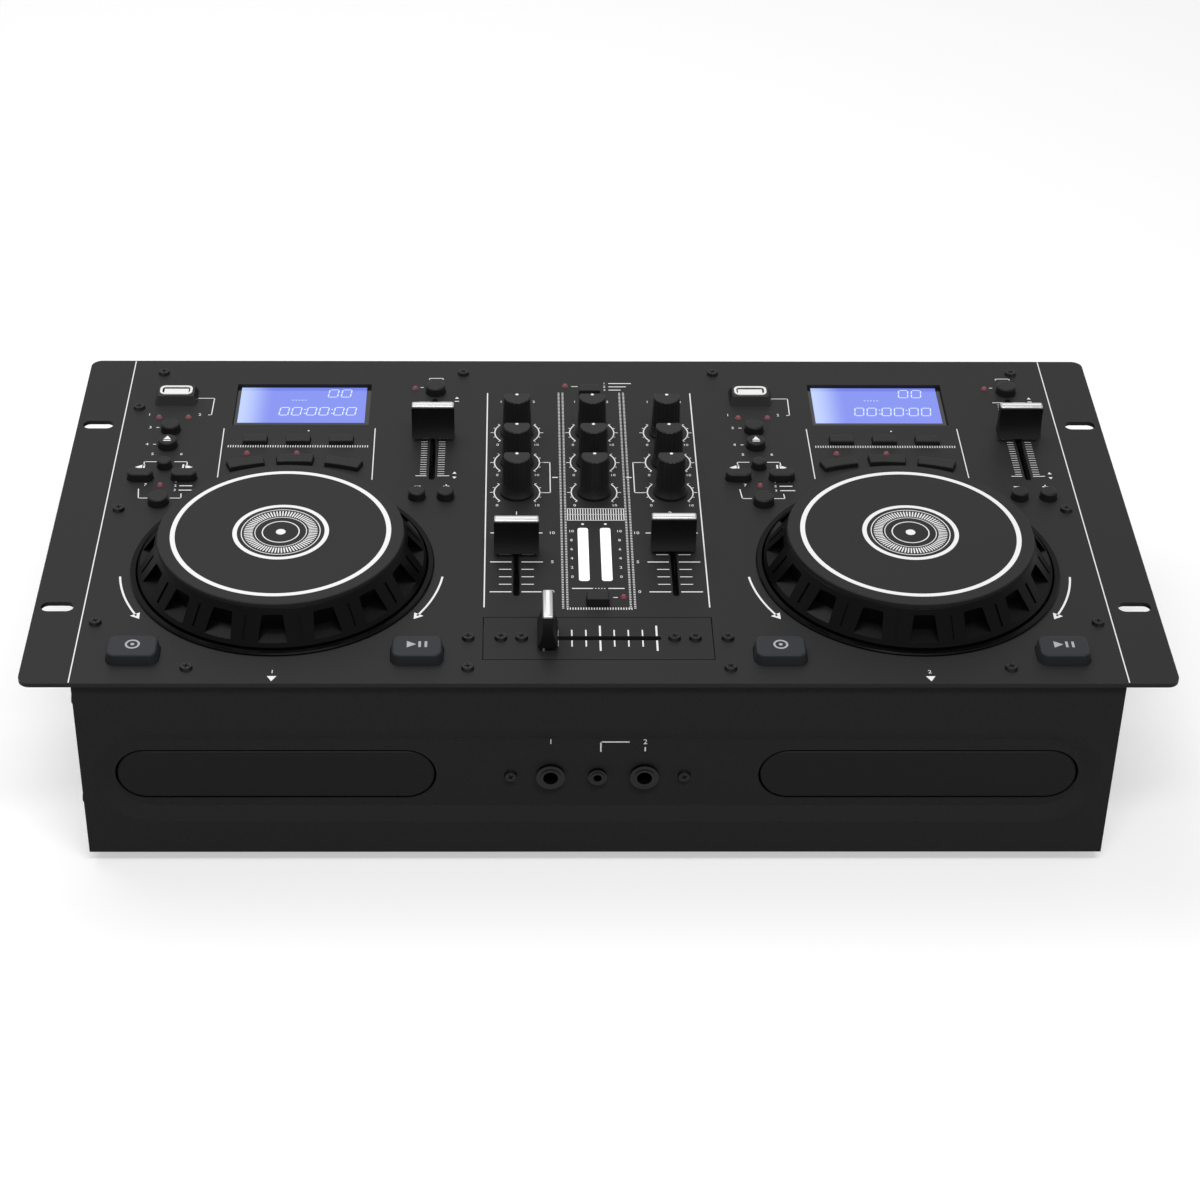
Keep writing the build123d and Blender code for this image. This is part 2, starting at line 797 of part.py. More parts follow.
def display_parts(centre_x):
    """A glazed display: lens, and the frame that holds it under the panel."""
    x = centre_x + window_dx
    frame_foot = display_frame_top - display_frame_t
    with BuildPart() as lens:
        with BuildSketch(Plane.XY.offset(lens_top - lens_t).move(Location((x, window_y, 0)))):
            Rectangle(window_w - 2 * seam_gap, window_d - 2 * seam_gap)
        extrude(amount=lens_t)
    with BuildPart() as frame:
        with BuildSketch(Plane.XY.offset(frame_foot).move(Location((x, window_y, 0)))):
            Rectangle(window_w + 2 * display_frame_w, window_d + 2 * display_frame_w)
        extrude(amount=display_frame_t)
        with BuildSketch(Plane.XY.offset(lens_top - lens_t).move(Location((x, window_y, 0)))):
            Rectangle(window_w, window_d)
        extrude(amount=panel_t + lens_t, mode=Mode.SUBTRACT)
        # legs down to the board
        with BuildSketch(Plane.XY.offset(board_top).move(Location((x, window_y, 0)))):
            with GridLocations(window_w, window_d, 2, 2):
                Circle(standoff_d / 2)
        extrude(amount=frame_foot - board_top)
    return lens.part, frame.part


save_group("display_modules", *[part for x in deck_xs for part in display_parts(x)])

# ---------------------------------------------------------------- keys


def key_solid(outline, height, places, rounding=key_edge_r):
    """Caps of one outline with a collar under the panel and a stem to the switch."""
    with BuildPart() as key:
        with BuildSketch(Plane.XY.offset(panel_under - stem_gap)):
            with Locations(*places):
                outline(0)
        extrude(amount=panel_t + height + stem_gap)
        fillet(key.faces().group_by(Axis.Z)[-1].edges(), rounding)
        with BuildSketch(Plane.XY.offset(panel_under - stem_gap)):
            with Locations(*places):
                outline(key_gap + key_collar)
        extrude(amount=-key_collar_t)
        with BuildSketch(Plane.XY.offset(stem_foot_z)):
            with Locations(*places):
                Circle(key_stem_d / 2)
        extrude(amount=panel_under - stem_gap - key_collar_t - stem_foot_z)
    return key.part


def round_outline(diameter):
    return lambda grow: Circle(diameter / 2 + grow)


def slot_outline(width, depth):
    return lambda grow: SlotOverall(width + 2 * grow, depth + 2 * grow)


def box_outline(width, depth):
    return lambda grow: Rectangle(width + 2 * grow, depth + 2 * grow)


def loop_keys(centre_x):
    """Three keys on an arc behind the jog wheel."""
    with BuildPart() as keys:
        for level, rise, grow in (
            (panel_under - stem_gap, panel_t + low_key_height + stem_gap, 0.0),
            (panel_under - stem_gap, -key_collar_t, key_gap + key_collar),
        ):
            with BuildSketch(Plane.XY.offset(level).move(Location((centre_x, jog_y, 0)))):
                for angle in loop_key_angles():
                    add(loop_key_outline(angle, grow))
            extrude(amount=rise)
            if grow == 0.0:
                fillet(keys.faces().group_by(Axis.Z)[-1].edges(), key_edge_r)
        mid_r = (loop_key_r_in + loop_key_r_out) / 2
        with BuildSketch(Plane.XY.offset(stem_foot_z).move(Location((centre_x, jog_y, 0)))):
            for angle in loop_key_angles():
                with Locations((mid_r * cos(radians(90 + angle)), mid_r * sin(radians(90 + angle)))):
                    Circle(key_stem_d / 2)
        extrude(amount=panel_under - stem_gap - key_collar_t - stem_foot_z)
    return keys.part


def pad_solid(x):
    """A large pad with drafted sides, rounded corners and a collar under the panel."""
    with BuildPart() as pad:
        with BuildSketch(Plane.XY.offset(panel_top)):
            with Locations((x, pad_y)):
                RectangleRounded(pad_w, pad_d, pad_corner_r)
        extrude(amount=pad_h, taper=pad_taper)
        fillet(pad.faces().sort_by(Axis.Z)[-1].edges(), pad_edge_r)
        with BuildSketch(Plane.XY.offset(panel_top)):
            with Locations((x, pad_y)):
                RectangleRounded(pad_w, pad_d, pad_corner_r)
        extrude(amount=-(panel_t + stem_gap))
        with BuildSketch(Plane.XY.offset(panel_under - stem_gap)):
            with Locations((x, pad_y)):
                RectangleRounded(
                    pad_w + 2 * (key_gap + key_collar),
                    pad_d + 2 * (key_gap + key_collar),
                    pad_corner_r + key_gap + key_collar,
                )
        extrude(amount=-key_collar_t)
        with BuildSketch(Plane.XY.offset(stem_foot_z)):
            with Locations((x, pad_y)):
                Circle(key_stem_d)
        extrude(amount=panel_under - stem_gap - key_collar_t - stem_foot_z)
    return pad.part


for side, centre in zip(sides, deck_xs):
    for name, diameter, at in (
        ("select_button_", select_d, select_at),
        ("eject_button_", eject_d, eject_at),
        ("track_button_", track_d, track_at),
        ("jog_mode_button_", jog_mode_d, jog_mode_at),
        ("pitch_button_", pitch_key_d, pitch_key_at),
    ):
        key = key_solid(round_outline(diameter), round_key_height, [on_deck(at, centre)], round_key_edge_r)
        save(key, name + side)
    bend = key_solid(
        round_outline(bend_key_d),
        round_key_height,
        [on_deck(at, centre) for at in bend_key_at],
        round_key_edge_r,
    )
    save(bend, "pitch_bend_buttons_" + side)
    search = key_solid(
        slot_outline(search_key_w, search_key_d),
        round_key_height,
        [on_deck(at, centre) for at in search_key_at],
        round_key_edge_r,
    )
    save(search, "search_buttons_" + side)
    menu = key_solid(box_outline(display_key_w, display_key_d), low_key_height, display_key_places(centre))
    save(menu, "display_keys_" + side)
    save(loop_keys(centre), "loop_keys_" + side)

for name, x in (
    ("cue_button_left", -pad_outer_x),
    ("play_button_left", -pad_inner_x),
    ("cue_button_right", pad_inner_x),
    ("play_button_right", pad_outer_x),
):
    save(pad_solid(x), name)

save(key_solid(box_outline(source_key_w, source_key_d), round_key_height, [source_key_at]), "source_button")
save(key_solid(box_outline(relay_key_w, relay_key_d), round_key_height, [relay_key_at]), "relay_button")

# ---------------------------------------------------------------- faders


lever_foot_z = board_top + fader_body_wall + fader_floor_gap


def fader_cap(x, y, turn):
    """A cap on its lever. With turn 0 the ridge lies along X and the lever runs along Y."""
    foot = panel_top + cap_base_height
    top = panel_top + cap_top_height
    waist = (foot + top) / 2 + 1.0
    lever_top = foot + lever_in_cap
    with BuildPart() as cap:
        # section across the ridge: broad foot, hollowed faces, flat ridge
        with BuildSketch(Plane.YZ.offset(-cap_w / 2)):
            with BuildLine():
                Line((-cap_base_d / 2, foot), (cap_base_d / 2, foot))
                ThreePointArc((cap_base_d / 2, foot), (cap_waist_d / 2, waist), (cap_ridge_d / 2, top))
                Line((cap_ridge_d / 2, top), (-cap_ridge_d / 2, top))
                ThreePointArc((-cap_ridge_d / 2, top), (-cap_waist_d / 2, waist), (-cap_base_d / 2, foot))
            make_face()
        extrude(amount=cap_w)
        with BuildSketch(Plane.XY.offset(panel_top)):
            Rectangle(lever_t, lever_w)
        extrude(amount=cap_base_height + lever_in_cap, mode=Mode.SUBTRACT)
    with BuildPart() as lever:
        with BuildSketch(Plane.XY.offset(lever_top)):
            Rectangle(lever_t, lever_w)
        extrude(amount=lever_foot_z - lever_top)
    place = Location((x, y, 0), (0, 0, turn))
    return cap.part.moved(place), lever.part.moved(place)


def fader_body(x, y, travel, turn):
    """A slide fader on its board: a channel with a slot along the top for the lever."""
    with BuildPart() as body:
        with BuildSketch(Plane.XY.offset(board_top)):
            Rectangle(fader_body_w, travel + lever_w + 2 * fader_body_over)
        extrude(amount=fader_body_h)
        with BuildSketch(Plane.XY.offset(board_top + fader_body_wall)):
            Rectangle(fader_slot_w, travel + lever_w + fader_end_gap)
        extrude(amount=fader_body_h, mode=Mode.SUBTRACT)
    return body.part.moved(Location((x, y, 0), (0, 0, turn)))


for side, centre in zip(sides, deck_xs):
    save_group(
        "pitch_fader_cap_" + side,
        *fader_cap(centre + pitch_fader_dx, pitch_fader_y + pitch_rest, 0),
    )
for side, x, rest in zip(sides, (-channel_fader_x, channel_fader_x), channel_rest):
    save_group("channel_fader_cap_" + side, *fader_cap(x, channel_fader_y + rest, 0))
save_group("crossfader_cap", *fader_cap(cross_fader_x + cross_rest, cross_fader_y, 90))

# ---------------------------------------------------------------- crossfader plate

with BuildPart() as crossfader_plate:
    with BuildSketch(Plane.XY.offset(panel_under)):
        with Locations((0, cross_fader_y)):
            Rectangle(cross_plate_w, cross_plate_d)
        with Locations(*cross_screw_places):
            Circle(shank_hole_d / 2, mode=Mode.SUBTRACT)
        with Locations((cross_fader_x, cross_fader_y)):
            SlotOverall(cross_slot_l, fader_slot_w, mode=Mode.SUBTRACT)
    extrude(amount=panel_t)

carrier_w = 2 * cross_side_screw_x + 2 * carrier_over
with BuildPart() as crossfader_carrier:
    # a strip under the panel that the plate and the crossfader screw to
    with BuildSketch(Plane.XY.offset(panel_under)):
        with Locations((0, cross_fader_y)):
            Rectangle(carrier_w, cross_plate_d - 2 * carrier_in)
        with Locations(*cross_screw_places, *carrier_screw_places):
            Circle(screw_d / 2, mode=Mode.SUBTRACT)
        with Locations((cross_fader_x, cross_fader_y)):
            SlotOverall(cross_slot_l, fader_slot_w, mode=Mode.SUBTRACT)
    extrude(amount=-carrier_t)
    # the box over the crossfader's body, open along the slot
    with BuildSketch(Plane.XY.offset(board_top + fader_body_h)):
        with Locations((cross_fader_x, cross_fader_y)):
            Rectangle(cross_travel + lever_w + 2 * fader_body_over, fader_body_w)
            SlotOverall(cross_slot_l, fader_slot_w, mode=Mode.SUBTRACT)
    extrude(amount=panel_under - carrier_t - board_top - fader_body_h)
save_group("crossfader_plate", crossfader_plate.part, crossfader_carrier.part)

# ---------------------------------------------------------------- knobs

knob_foot = panel_top + knob_lift


def flute_space():
    """The space of one flute: a round bar that leans as the knob's side does, partly sunk in it."""
    low = (knob_waist_d / 2, knob_foot + knob_skirt_h)
    lean = (knob_top_d / 2 - low[0], 0, panel_top + knob_h - low[1])
    start = (low[0] + knob_flute_out, 0, low[1] + knob_flute_lift)
    with BuildPart() as space:
        with BuildSketch(Plane(origin=start, z_dir=lean)):
            Circle(knob_flute_r)
        extrude(amount=knob_h)
    return space.part


flute = flute_space()


def knob_parts():
    """A fluted knob with a flat on its back, and the shaft that it turns."""
    with BuildPart() as knob:
        with BuildSketch(Plane.XZ):
            with BuildLine():
                Line((0, knob_foot), (knob_skirt_d / 2, knob_foot))
                Line((knob_skirt_d / 2, knob_foot), (knob_skirt_d / 2, knob_foot + knob_foot_edge))
                ThreePointArc(
                    (knob_skirt_d / 2, knob_foot + knob_foot_edge),
                    (knob_waist_d / 2 + knob_skirt_bow, knob_foot + knob_skirt_h * knob_skirt_bow_at),
                    (knob_waist_d / 2, knob_foot + knob_skirt_h),
                )
                Polyline(
                    (knob_waist_d / 2, knob_foot + knob_skirt_h),
                    (knob_top_d / 2, panel_top + knob_h - knob_top_edge),
                    (knob_top_d / 2 - knob_top_edge, panel_top + knob_h),
                    (0, panel_top + knob_h),
                )
                Line((0, panel_top + knob_h), (0, knob_foot))
            make_face()
        revolve(axis=Axis.Z)
        with PolarLocations(0, knob_flutes, start_angle=10):
            add(flute, mode=Mode.SUBTRACT)
        with BuildSketch(Plane.XY.offset(panel_top + knob_h)):
            with Locations((0, knob_flat + knob_skirt_d / 2)):
                Rectangle(knob_skirt_d, knob_skirt_d)
        extrude(amount=-knob_flat_h, mode=Mode.SUBTRACT)
        with BuildSketch(Plane.XY.offset(knob_foot)):
            Circle(pot_shaft_d / 2)
        extrude(amount=pot_shaft_in_knob, mode=Mode.SUBTRACT)
    with BuildPart() as shaft:
        with BuildSketch(Plane.XY.offset(knob_foot + pot_shaft_in_knob)):
            Circle(pot_shaft_d / 2)
        extrude(amount=-(knob_foot + pot_shaft_in_knob - board_top - pot_floor_t))
    return knob.part, shaft.part


def pot_body(x, y):
    """A rotary control: a body on the board with a bush up to the panel."""
    with BuildPart() as pot:
        with BuildSketch(Plane.XY.offset(board_top)):
            with Locations((x, y)):
                Rectangle(pot_body_w, pot_body_w)
        extrude(amount=pot_body_h)
        with BuildSketch(Plane.XY.offset(board_top + pot_body_h)):
            with Locations((x, y)):
                Circle(pot_bush_d / 2)
        extrude(amount=panel_top - board_top - pot_body_h)
        with BuildSketch(Plane.XY.offset(board_top + pot_floor_t - pot_gap)):
            with Locations((x, y)):
                Circle(pot_shaft_d / 2 + jog_bore_gap)
        extrude(amount=board_drop + panel_t, mode=Mode.SUBTRACT)
    return pot.part


one_knob = knob_parts()
knob_names = (
    ("gain_knob_left", "treble_knob_left", "bass_knob_left"),
    ("master_knob", "cue_mix_knob", "headphone_knob"),
    ("gain_knob_right", "treble_knob_right", "bass_knob_right"),
)
for x, column in zip(knob_x, knob_names):
    for y, name in zip(knob_y, column):
        save_group(name, *[piece.moved(Location((x, y, 0))) for piece in one_knob])

# ---------------------------------------------------------------- lamps and meters


def lamp(x, y):
    """A small domed lamp on a stem up from the board."""
    with BuildPart() as light:
        with BuildSketch(Plane.XY.offset(board_top)):
            with Locations((x, y)):
                Circle(lamp_d / 2)
        extrude(amount=panel_top - board_top)
        with BuildSketch(Plane.XY.offset(panel_top)):
            with Locations((x, y)):
                Circle(lamp_d / 2)
        extrude(amount=lamp_proud, taper=35)
    return light.part


def meter_bar(x):
    """A light bar, flush in the panel, down to the board."""
    with BuildPart() as bar:
        with BuildSketch(Plane.XY.offset(board_top)):
            with Locations((x, meter_y)):
                RectangleRounded(meter_w, meter_l, meter_corner_r)
        extrude(amount=panel_top - board_top + meter_proud)
    return bar.part


lamps = [lamp(*on_deck(at, x)) for x in deck_xs for at in deck_lamp_at]
lamps += [lamp(*at) for at in mixer_lamp_at]
save_group("indicator_lamps", *lamps, meter_bar(-meter_x), meter_bar(meter_x))

# ---------------------------------------------------------------- USB sockets


def usb_parts(centre_x):
    """A drafted surround, the metal shell of the socket in it, and its tongue."""
    x, y = on_deck(usb_at, centre_x)
    shell_w = usb_mouth_w + 2 * usb_shell_t
    shell_d = usb_mouth_d + 2 * usb_shell_t
    top = panel_top + usb_height
    with BuildPart() as surround:
        with BuildSketch(Plane.XY.offset(panel_top)):
            with Locations((x, y)):
                RectangleRounded(usb_base_w, usb_base_d, usb_corner_r)
        with BuildSketch(Plane.XY.offset(top)):
            with Locations((x, y)):
                RectangleRounded(usb_top_w, usb_top_d, usb_corner_r)
        loft()
        with BuildSketch(Plane.XY.offset(panel_top)):
            with Locations((x, y)):
                Rectangle(shell_w, shell_d)
        extrude(amount=usb_height, mode=Mode.SUBTRACT)
    with BuildPart() as shell:
        with BuildSketch(Plane.XY.offset(top)):
            with Locations((x, y)):
                Rectangle(shell_w, shell_d)
        extrude(amount=-usb_depth)
        with BuildSketch(Plane.XY.offset(top)):
            with Locations((x, y)):
                Rectangle(usb_mouth_w, usb_mouth_d)
        extrude(amount=-(usb_depth - usb_shell_t), mode=Mode.SUBTRACT)
    with BuildPart() as tongue:
        with BuildSketch(Plane.XY.offset(top - usb_depth + usb_shell_t)):
            with Locations((x, y + usb_mouth_d / 2 - usb_tongue_t / 2 - usb_shell_t)):
                Rectangle(usb_tongue_w, usb_tongue_t)
        extrude(amount=usb_depth - 2 * usb_shell_t - usb_tongue_drop)
    with BuildPart() as stand:
        # the block that carries the socket on the board
        with BuildSketch(Plane.XY.offset(board_top)):
            with Locations((x, y)):
                Rectangle(shell_w, shell_d)
        extrude(amount=top - usb_depth - board_top)
    return surround.part, shell.part, tongue.part, stand.part


save_group("usb_sockets", *[piece for x in deck_xs for piece in usb_parts(x)])

# ---------------------------------------------------------------- circuit boards


def switch_block(x, y):
    """A push switch under a key's stem."""
    with BuildPart() as switch:
        with BuildSketch(Plane.XY.offset(board_top)):
            with Locations((x, y)):
                Rectangle(switch_w, switch_w)
        extrude(amount=switch_h)
    return switch.part


def standoffs(places):
    """Spacers from the panel down to a board."""
    with BuildPart() as posts:
        with BuildSketch(Plane.XY.offset(board_top)):
            with Locations(*places):
                Circle(standoff_d / 2)
        extrude(amount=board_drop)
    return posts.part


def loop_key_places(centre_x):
    mid_r = (loop_key_r_in + loop_key_r_out) / 2
    return [
        (centre_x + mid_r * cos(radians(90 + angle)), jog_y + mid_r * sin(radians(90 + angle)))
        for angle in loop_key_angles()
    ]


def deck_board(centre_x):
    """A deck's board, cut out round the jog well, with its switches."""
    depth = deck_board_back - deck_board_front
    with BuildPart() as board:
        with BuildSketch(Plane.XY.offset(board_under)):
            with Locations((centre_x, deck_board_front + depth / 2)):
                Rectangle(deck_board_w, depth)
            with Locations((centre_x, jog_y)):
                Circle(jog_hole_r + board_well_gap, mode=Mode.SUBTRACT)
        extrude(amount=board_t)
    places = [on_deck(at, centre_x) for at in (select_at, eject_at, track_at, jog_mode_at, pitch_key_at)]
    places += [on_deck(at, centre_x) for at in bend_key_at + search_key_at]
    places += display_key_places(centre_x) + loop_key_places(centre_x)
    places += [place for place in pad_places if abs(place[0] - centre_x) < deck_x]
    corners = [
        (centre_x + dx, y)
        for dx in (-deck_board_w / 2 + deck_post_in[0], deck_board_w / 2 - deck_post_in[0])
        for y in (deck_board_front + deck_post_in[1], deck_board_back - deck_post_in[2])
    ]
    return [board.part, standoffs(corners)] + [switch_block(*place) for place in places]


def mixer_board():
    """The mixer's board with its rotary controls, its faders and its two switches."""
    depth = deck_board_back - mixer_board_front
    with BuildPart() as board:
        with BuildSketch(Plane.XY.offset(board_under)):
            with Locations((0, mixer_board_front + depth / 2)):
                Rectangle(mixer_board_w, depth)
        extrude(amount=board_t)
    post_x = mixer_board_w / 2 - mixer_post_in[0]
    corners = [
        (x, y)
        for x in (-post_x, post_x)
        for y in (mixer_board_front + mixer_post_in[1], deck_board_back - mixer_post_in[2])
    ]
    pots = [pot_body(x, y) for x in knob_x for y in knob_y]
    switches = [switch_block(*source_key_at), switch_block(*relay_key_at)]
    return [board.part, standoffs(corners)] + pots + switches


save_group("control_boards", *deck_board(-deck_x), *deck_board(deck_x), *mixer_board())

faders = [fader_body(x + pitch_fader_dx, pitch_fader_y, pitch_travel, 0) for x in deck_xs]
faders += [
    fader_body(x, channel_fader_y, channel_travel, 0) for x in (-channel_fader_x, channel_fader_x)
]
faders.append(fader_body(cross_fader_x, cross_fader_y, cross_travel, 90))
save_group("fader_bodies", *faders)

# ---------------------------------------------------------------- disc trays and loaders


def disc_tray(centre_x):
    """The tray with its two disc recesses, and the door on its front end."""
    tray_front = trough_floor + door_t
    mid_y = tray_front + tray_l / 2
    with BuildPart() as tray:
        with BuildSketch(Plane.XY.offset(tray_z)):
            with Locations((centre_x, mid_y)):
                RectangleRounded(tray_w, tray_l, tray_corner_r)
        extrude(amount=tray_rim_h)
        with BuildSketch(Plane.XY.offset(tray_z + tray_t)):
            with Locations((centre_x, disc_y)):
                Circle(disc_d / 2)
        extrude(amount=tray_rim_h, mode=Mode.SUBTRACT)
        with BuildSketch(Plane.XY.offset(tray_z + tray_t - small_disc_recess)):
            with Locations((centre_x, disc_y)):
                Circle(small_disc_d / 2)
        extrude(amount=tray_rim_h, mode=Mode.SUBTRACT)
        # the slot that the hub and the pickup pass through, open at the back
        with BuildSketch(Plane.XY.offset(tray_z)):
            with Locations((centre_x, disc_y)):
                Circle(hub_slot_w / 2)
            with Locations((centre_x, (disc_y + tray_back) / 2)):
                Rectangle(hub_slot_w, tray_back - disc_y)
        extrude(amount=tray_rim_h, mode=Mode.SUBTRACT)
        # runners under both edges
        with BuildSketch(Plane.XY.offset(tray_z)):
            for sign in (-1, 1):
                with Locations((centre_x + sign * (tray_w - tray_foot_w) / 2, mid_y)):
                    Rectangle(tray_foot_w, tray_l - 2 * tray_foot_in)
        extrude(amount=-tray_foot_h)
    with BuildPart() as door:
        with BuildSketch(Plane.XZ.offset(-trough_floor)):
            with Locations((centre_x, door_z)):
                SlotOverall(door_w, door_h)
        extrude(amount=-door_t)
        chamfer(door.faces().sort_by(Axis.Y)[0].edges(), door_edge)
    return tray.part, door.part


def disc_loader(centre_x):
    """The channel that the tray slides in, on its posts, with the lowered hub and the pickup."""
    loader_front = trough_floor + door_t + loader_in
    mid_y = loader_front + loader_l / 2
    runner_z = tray_z - tray_foot_h
    base_z = runner_z - loader_gap - loader_wall
    inner_w = tray_w + 2 * loader_gap
    with BuildPart() as frame:
        with BuildSketch(Plane.XY.offset(base_z)):
            with Locations((centre_x, mid_y)):
                Rectangle(inner_w + 2 * loader_wall, loader_l)
        extrude(amount=loader_wall)
        with BuildSketch(Plane.XY.offset(base_z)):
            for sign in (-1, 1):
                with Locations((centre_x + sign * (inner_w + loader_wall) / 2, mid_y)):
                    Rectangle(loader_wall, loader_l)
        extrude(amount=loader_h)
        # lips over the tray's edges
        with BuildSketch(Plane.XY.offset(tray_z + tray_rim_h + loader_gap)):
            for sign in (-1, 1):
                with Locations((centre_x + sign * (inner_w / 2 - loader_lip / 2), mid_y)):
                    Rectangle(loader_lip, loader_l)
        extrude(amount=loader_wall)
        # posts on the floor
        with BuildSketch(Plane.XY.offset(floor_z + sheet_t)):
            for sign in (-1, 1):
                with Locations(
                    (centre_x + sign * (inner_w / 2 - loader_post_d), loader_front + loader_post_d),
                    (centre_x + sign * (inner_w / 2 - loader_post_d), loader_front + loader_l - loader_post_in),
                ):
                    Circle(loader_post_d / 2)
        extrude(amount=base_z - floor_z - sheet_t)
    with BuildPart() as hub:
        with BuildSketch(Plane.XY.offset(base_z + loader_wall)):
            with Locations((centre_x, disc_y)):
                Circle(hub_d / 2)
        extrude(amount=tray_z - base_z - loader_wall)
        with BuildSketch(Plane.XY.offset(tray_z)):
            with Locations((centre_x, disc_y)):
                Circle(hub_nose_d / 2)
        extrude(amount=hub_nose_h, taper=15)
    with BuildPart() as pickup:
        with BuildSketch(Plane.XY.offset(base_z + loader_wall)):
            with Locations((centre_x, disc_y + hub_d / 2 + pickup_gap + pickup_l / 2)):
                Rectangle(pickup_w, pickup_l)
        extrude(amount=pickup_h)
        with BuildSketch(Plane.XY.offset(base_z + loader_wall + pickup_h)):
            with Locations((centre_x, disc_y + hub_d / 2 + pickup_gap + pickup_l / 3)):
                Circle(pickup_lens_d / 2)
        extrude(amount=pickup_lens_h)
    return frame.part, hub.part, pickup.part


for side, centre in zip(sides, deck_xs):
    save_group("disc_tray_" + side, *disc_tray(centre))
save_group("disc_loaders", *[piece for x in deck_xs for piece in disc_loader(x)])

# ---------------------------------------------------------------- front sockets


jack_carrier_y = trough_floor + sheet_t
jack_body_y = jack_carrier_y + jack_carrier_t

with BuildPart() as jack_carrier:
    # the plate behind the panel that the sockets and the two screws hold
    with BuildSketch(Plane.XZ.offset(-jack_carrier_y)):
        with Locations((0, jack_z)):
            RectangleRounded(jack_carrier_w, jack_carrier_h, 2.0)
        with Locations((-front_screw_dx, jack_z), (front_screw_dx, jack_z)):
            Circle(screw_d / 2, mode=Mode.SUBTRACT)
        with Locations((-jack_dx, jack_z), (jack_dx, jack_z)):
            Circle(jack_bush_d / 2 + jack_wall_gap, mode=Mode.SUBTRACT)
        with Locations((0, jack_z)):
            Circle(small_jack_bush_d / 2 + jack_wall_gap, mode=Mode.SUBTRACT)
    extrude(amount=-jack_carrier_t)


def jack_parts(dx, bore_d, bush_d, nut_d, body_w, depth):
    """A socket behind the front panel: body with its bush and bore, and the nut on its face."""
    with BuildPart() as body:
        with BuildSketch(Plane.XZ.offset(-jack_body_y)):
            with Locations((dx, jack_z)):
                Rectangle(body_w, body_w)
        extrude(amount=-depth)
        with BuildSketch(Plane.XZ.offset(-jack_body_y)):
            with Locations((dx, jack_z)):
                Circle(bush_d / 2)
        extrude(amount=jack_body_y - trough_floor + jack_nut_t)
        with BuildSketch(Plane.XZ.offset(-(trough_floor - jack_nut_t))):
            with Locations((dx, jack_z)):
                Circle(bore_d / 2)
        extrude(amount=-(jack_nut_t + depth), mode=Mode.SUBTRACT)
    with BuildPart() as nut:
        with BuildSketch(Plane.XZ.offset(-trough_floor)):
            with Locations((dx, jack_z)):
                Circle(nut_d / 2)
                Circle(bush_d / 2, mode=Mode.SUBTRACT)
        extrude(amount=jack_nut_t - jack_bush_proud)
    return body.part, nut.part


jacks = [jack_carrier.part]
for dx in (-jack_dx, jack_dx):
    jacks += jack_parts(dx, jack_bore_d, jack_bush_d, jack_nut_d, jack_body_w, jack_depth)
jacks += jack_parts(
    0.0, small_jack_bore_d, small_jack_bush_d, small_jack_nut_d, small_jack_body_w, small_jack_depth
)
save_group("front_sockets", *jacks)

# ---------------------------------------------------------------- rear sockets


def rca_parts(x, z):
    """A phono socket: an insulated block inside, and a metal barrel outside."""
    with BuildPart() as block:
        with BuildSketch(Plane.XZ.offset(-(back_inside))):
            with Locations((x, z)):
                Rectangle(rca_block_w, rca_block_w)
        extrude(amount=rca_block_l)
    with BuildPart() as barrel:
        with BuildSketch(Plane.XZ.offset(-back_inside)):
            with Locations((x, z)):
                Circle(rca_barrel_d / 2)
        extrude(amount=-(sheet_t + rca_barrel_l))
        with BuildSketch(Plane.XZ.offset(-(back_face + rca_plate_t))):
            with Locations((x, z)):
                Circle(rca_rim_d / 2)
        extrude(amount=-rca_rim_t)
        with BuildSketch(Plane.XZ.offset(-(back_face + rca_barrel_l))):
            with Locations((x, z)):
                Circle(rca_bore_d / 2)
        extrude(amount=rca_barrel_l + sheet_t, mode=Mode.SUBTRACT)
    return block.part, barrel.part


with BuildPart() as rca_plate:
    plate_w = (rca_pairs - 1) * rca_pair_pitch + 2 * rca_plate_margin
    with BuildSketch(Plane.XZ.offset(-(back_face))):
        with Locations((rca_first_x + (rca_pairs - 1) * rca_pair_pitch / 2, rca_height)):
            RectangleRounded(plate_w, rca_pitch + 2 * rca_plate_margin, 2.0)
        with Locations(*[(x, z) for x in rca_xs for z in rca_zs]):
            Circle(rca_barrel_d / 2 + seam_gap, mode=Mode.SUBTRACT)
    extrude(amount=-rca_plate_t)
rca = [piece for x in rca_xs for z in rca_zs for piece in rca_parts(x, z)]
save_group("rear_sockets", rca_plate.part, *rca)

# ---------------------------------------------------------------- power inlet and switch

inlet_back = back_face + inlet_flange_t
with BuildPart() as inlet_body:
    with BuildSketch(Plane.XZ.offset(-back_face)):
        with Locations((inlet_x, inlet_z)):
            RectangleRounded(inlet_flange_w, inlet_flange_h, 4.0)
    extrude(amount=-inlet_flange_t)
    with BuildSketch(Plane.XZ.offset(-back_face)):
        with Locations((inlet_x, inlet_z)):
            Rectangle(inlet_mouth_w + 2 * inlet_wall, inlet_mouth_h + 2 * inlet_wall)
    extrude(amount=inlet_depth + inlet_wall - inlet_flange_t)
    with BuildSketch(Plane.XZ.offset(-inlet_back)):
        with Locations((inlet_x, inlet_z)):
            Rectangle(inlet_mouth_w, inlet_mouth_h)
    extrude(amount=inlet_depth, mode=Mode.SUBTRACT)
with BuildPart() as inlet_pins:
    with BuildSketch(Plane.XZ.offset(-(inlet_back - inlet_depth))):
        with Locations(
            (inlet_x - inlet_pin_dx, inlet_z - inlet_pin_dz),
            (inlet_x + inlet_pin_dx, inlet_z - inlet_pin_dz),
            (inlet_x, inlet_z + inlet_pin_dz),
        ):
            Rectangle(inlet_pin_t, inlet_pin_w)
    extrude(amount=-inlet_pin_l)
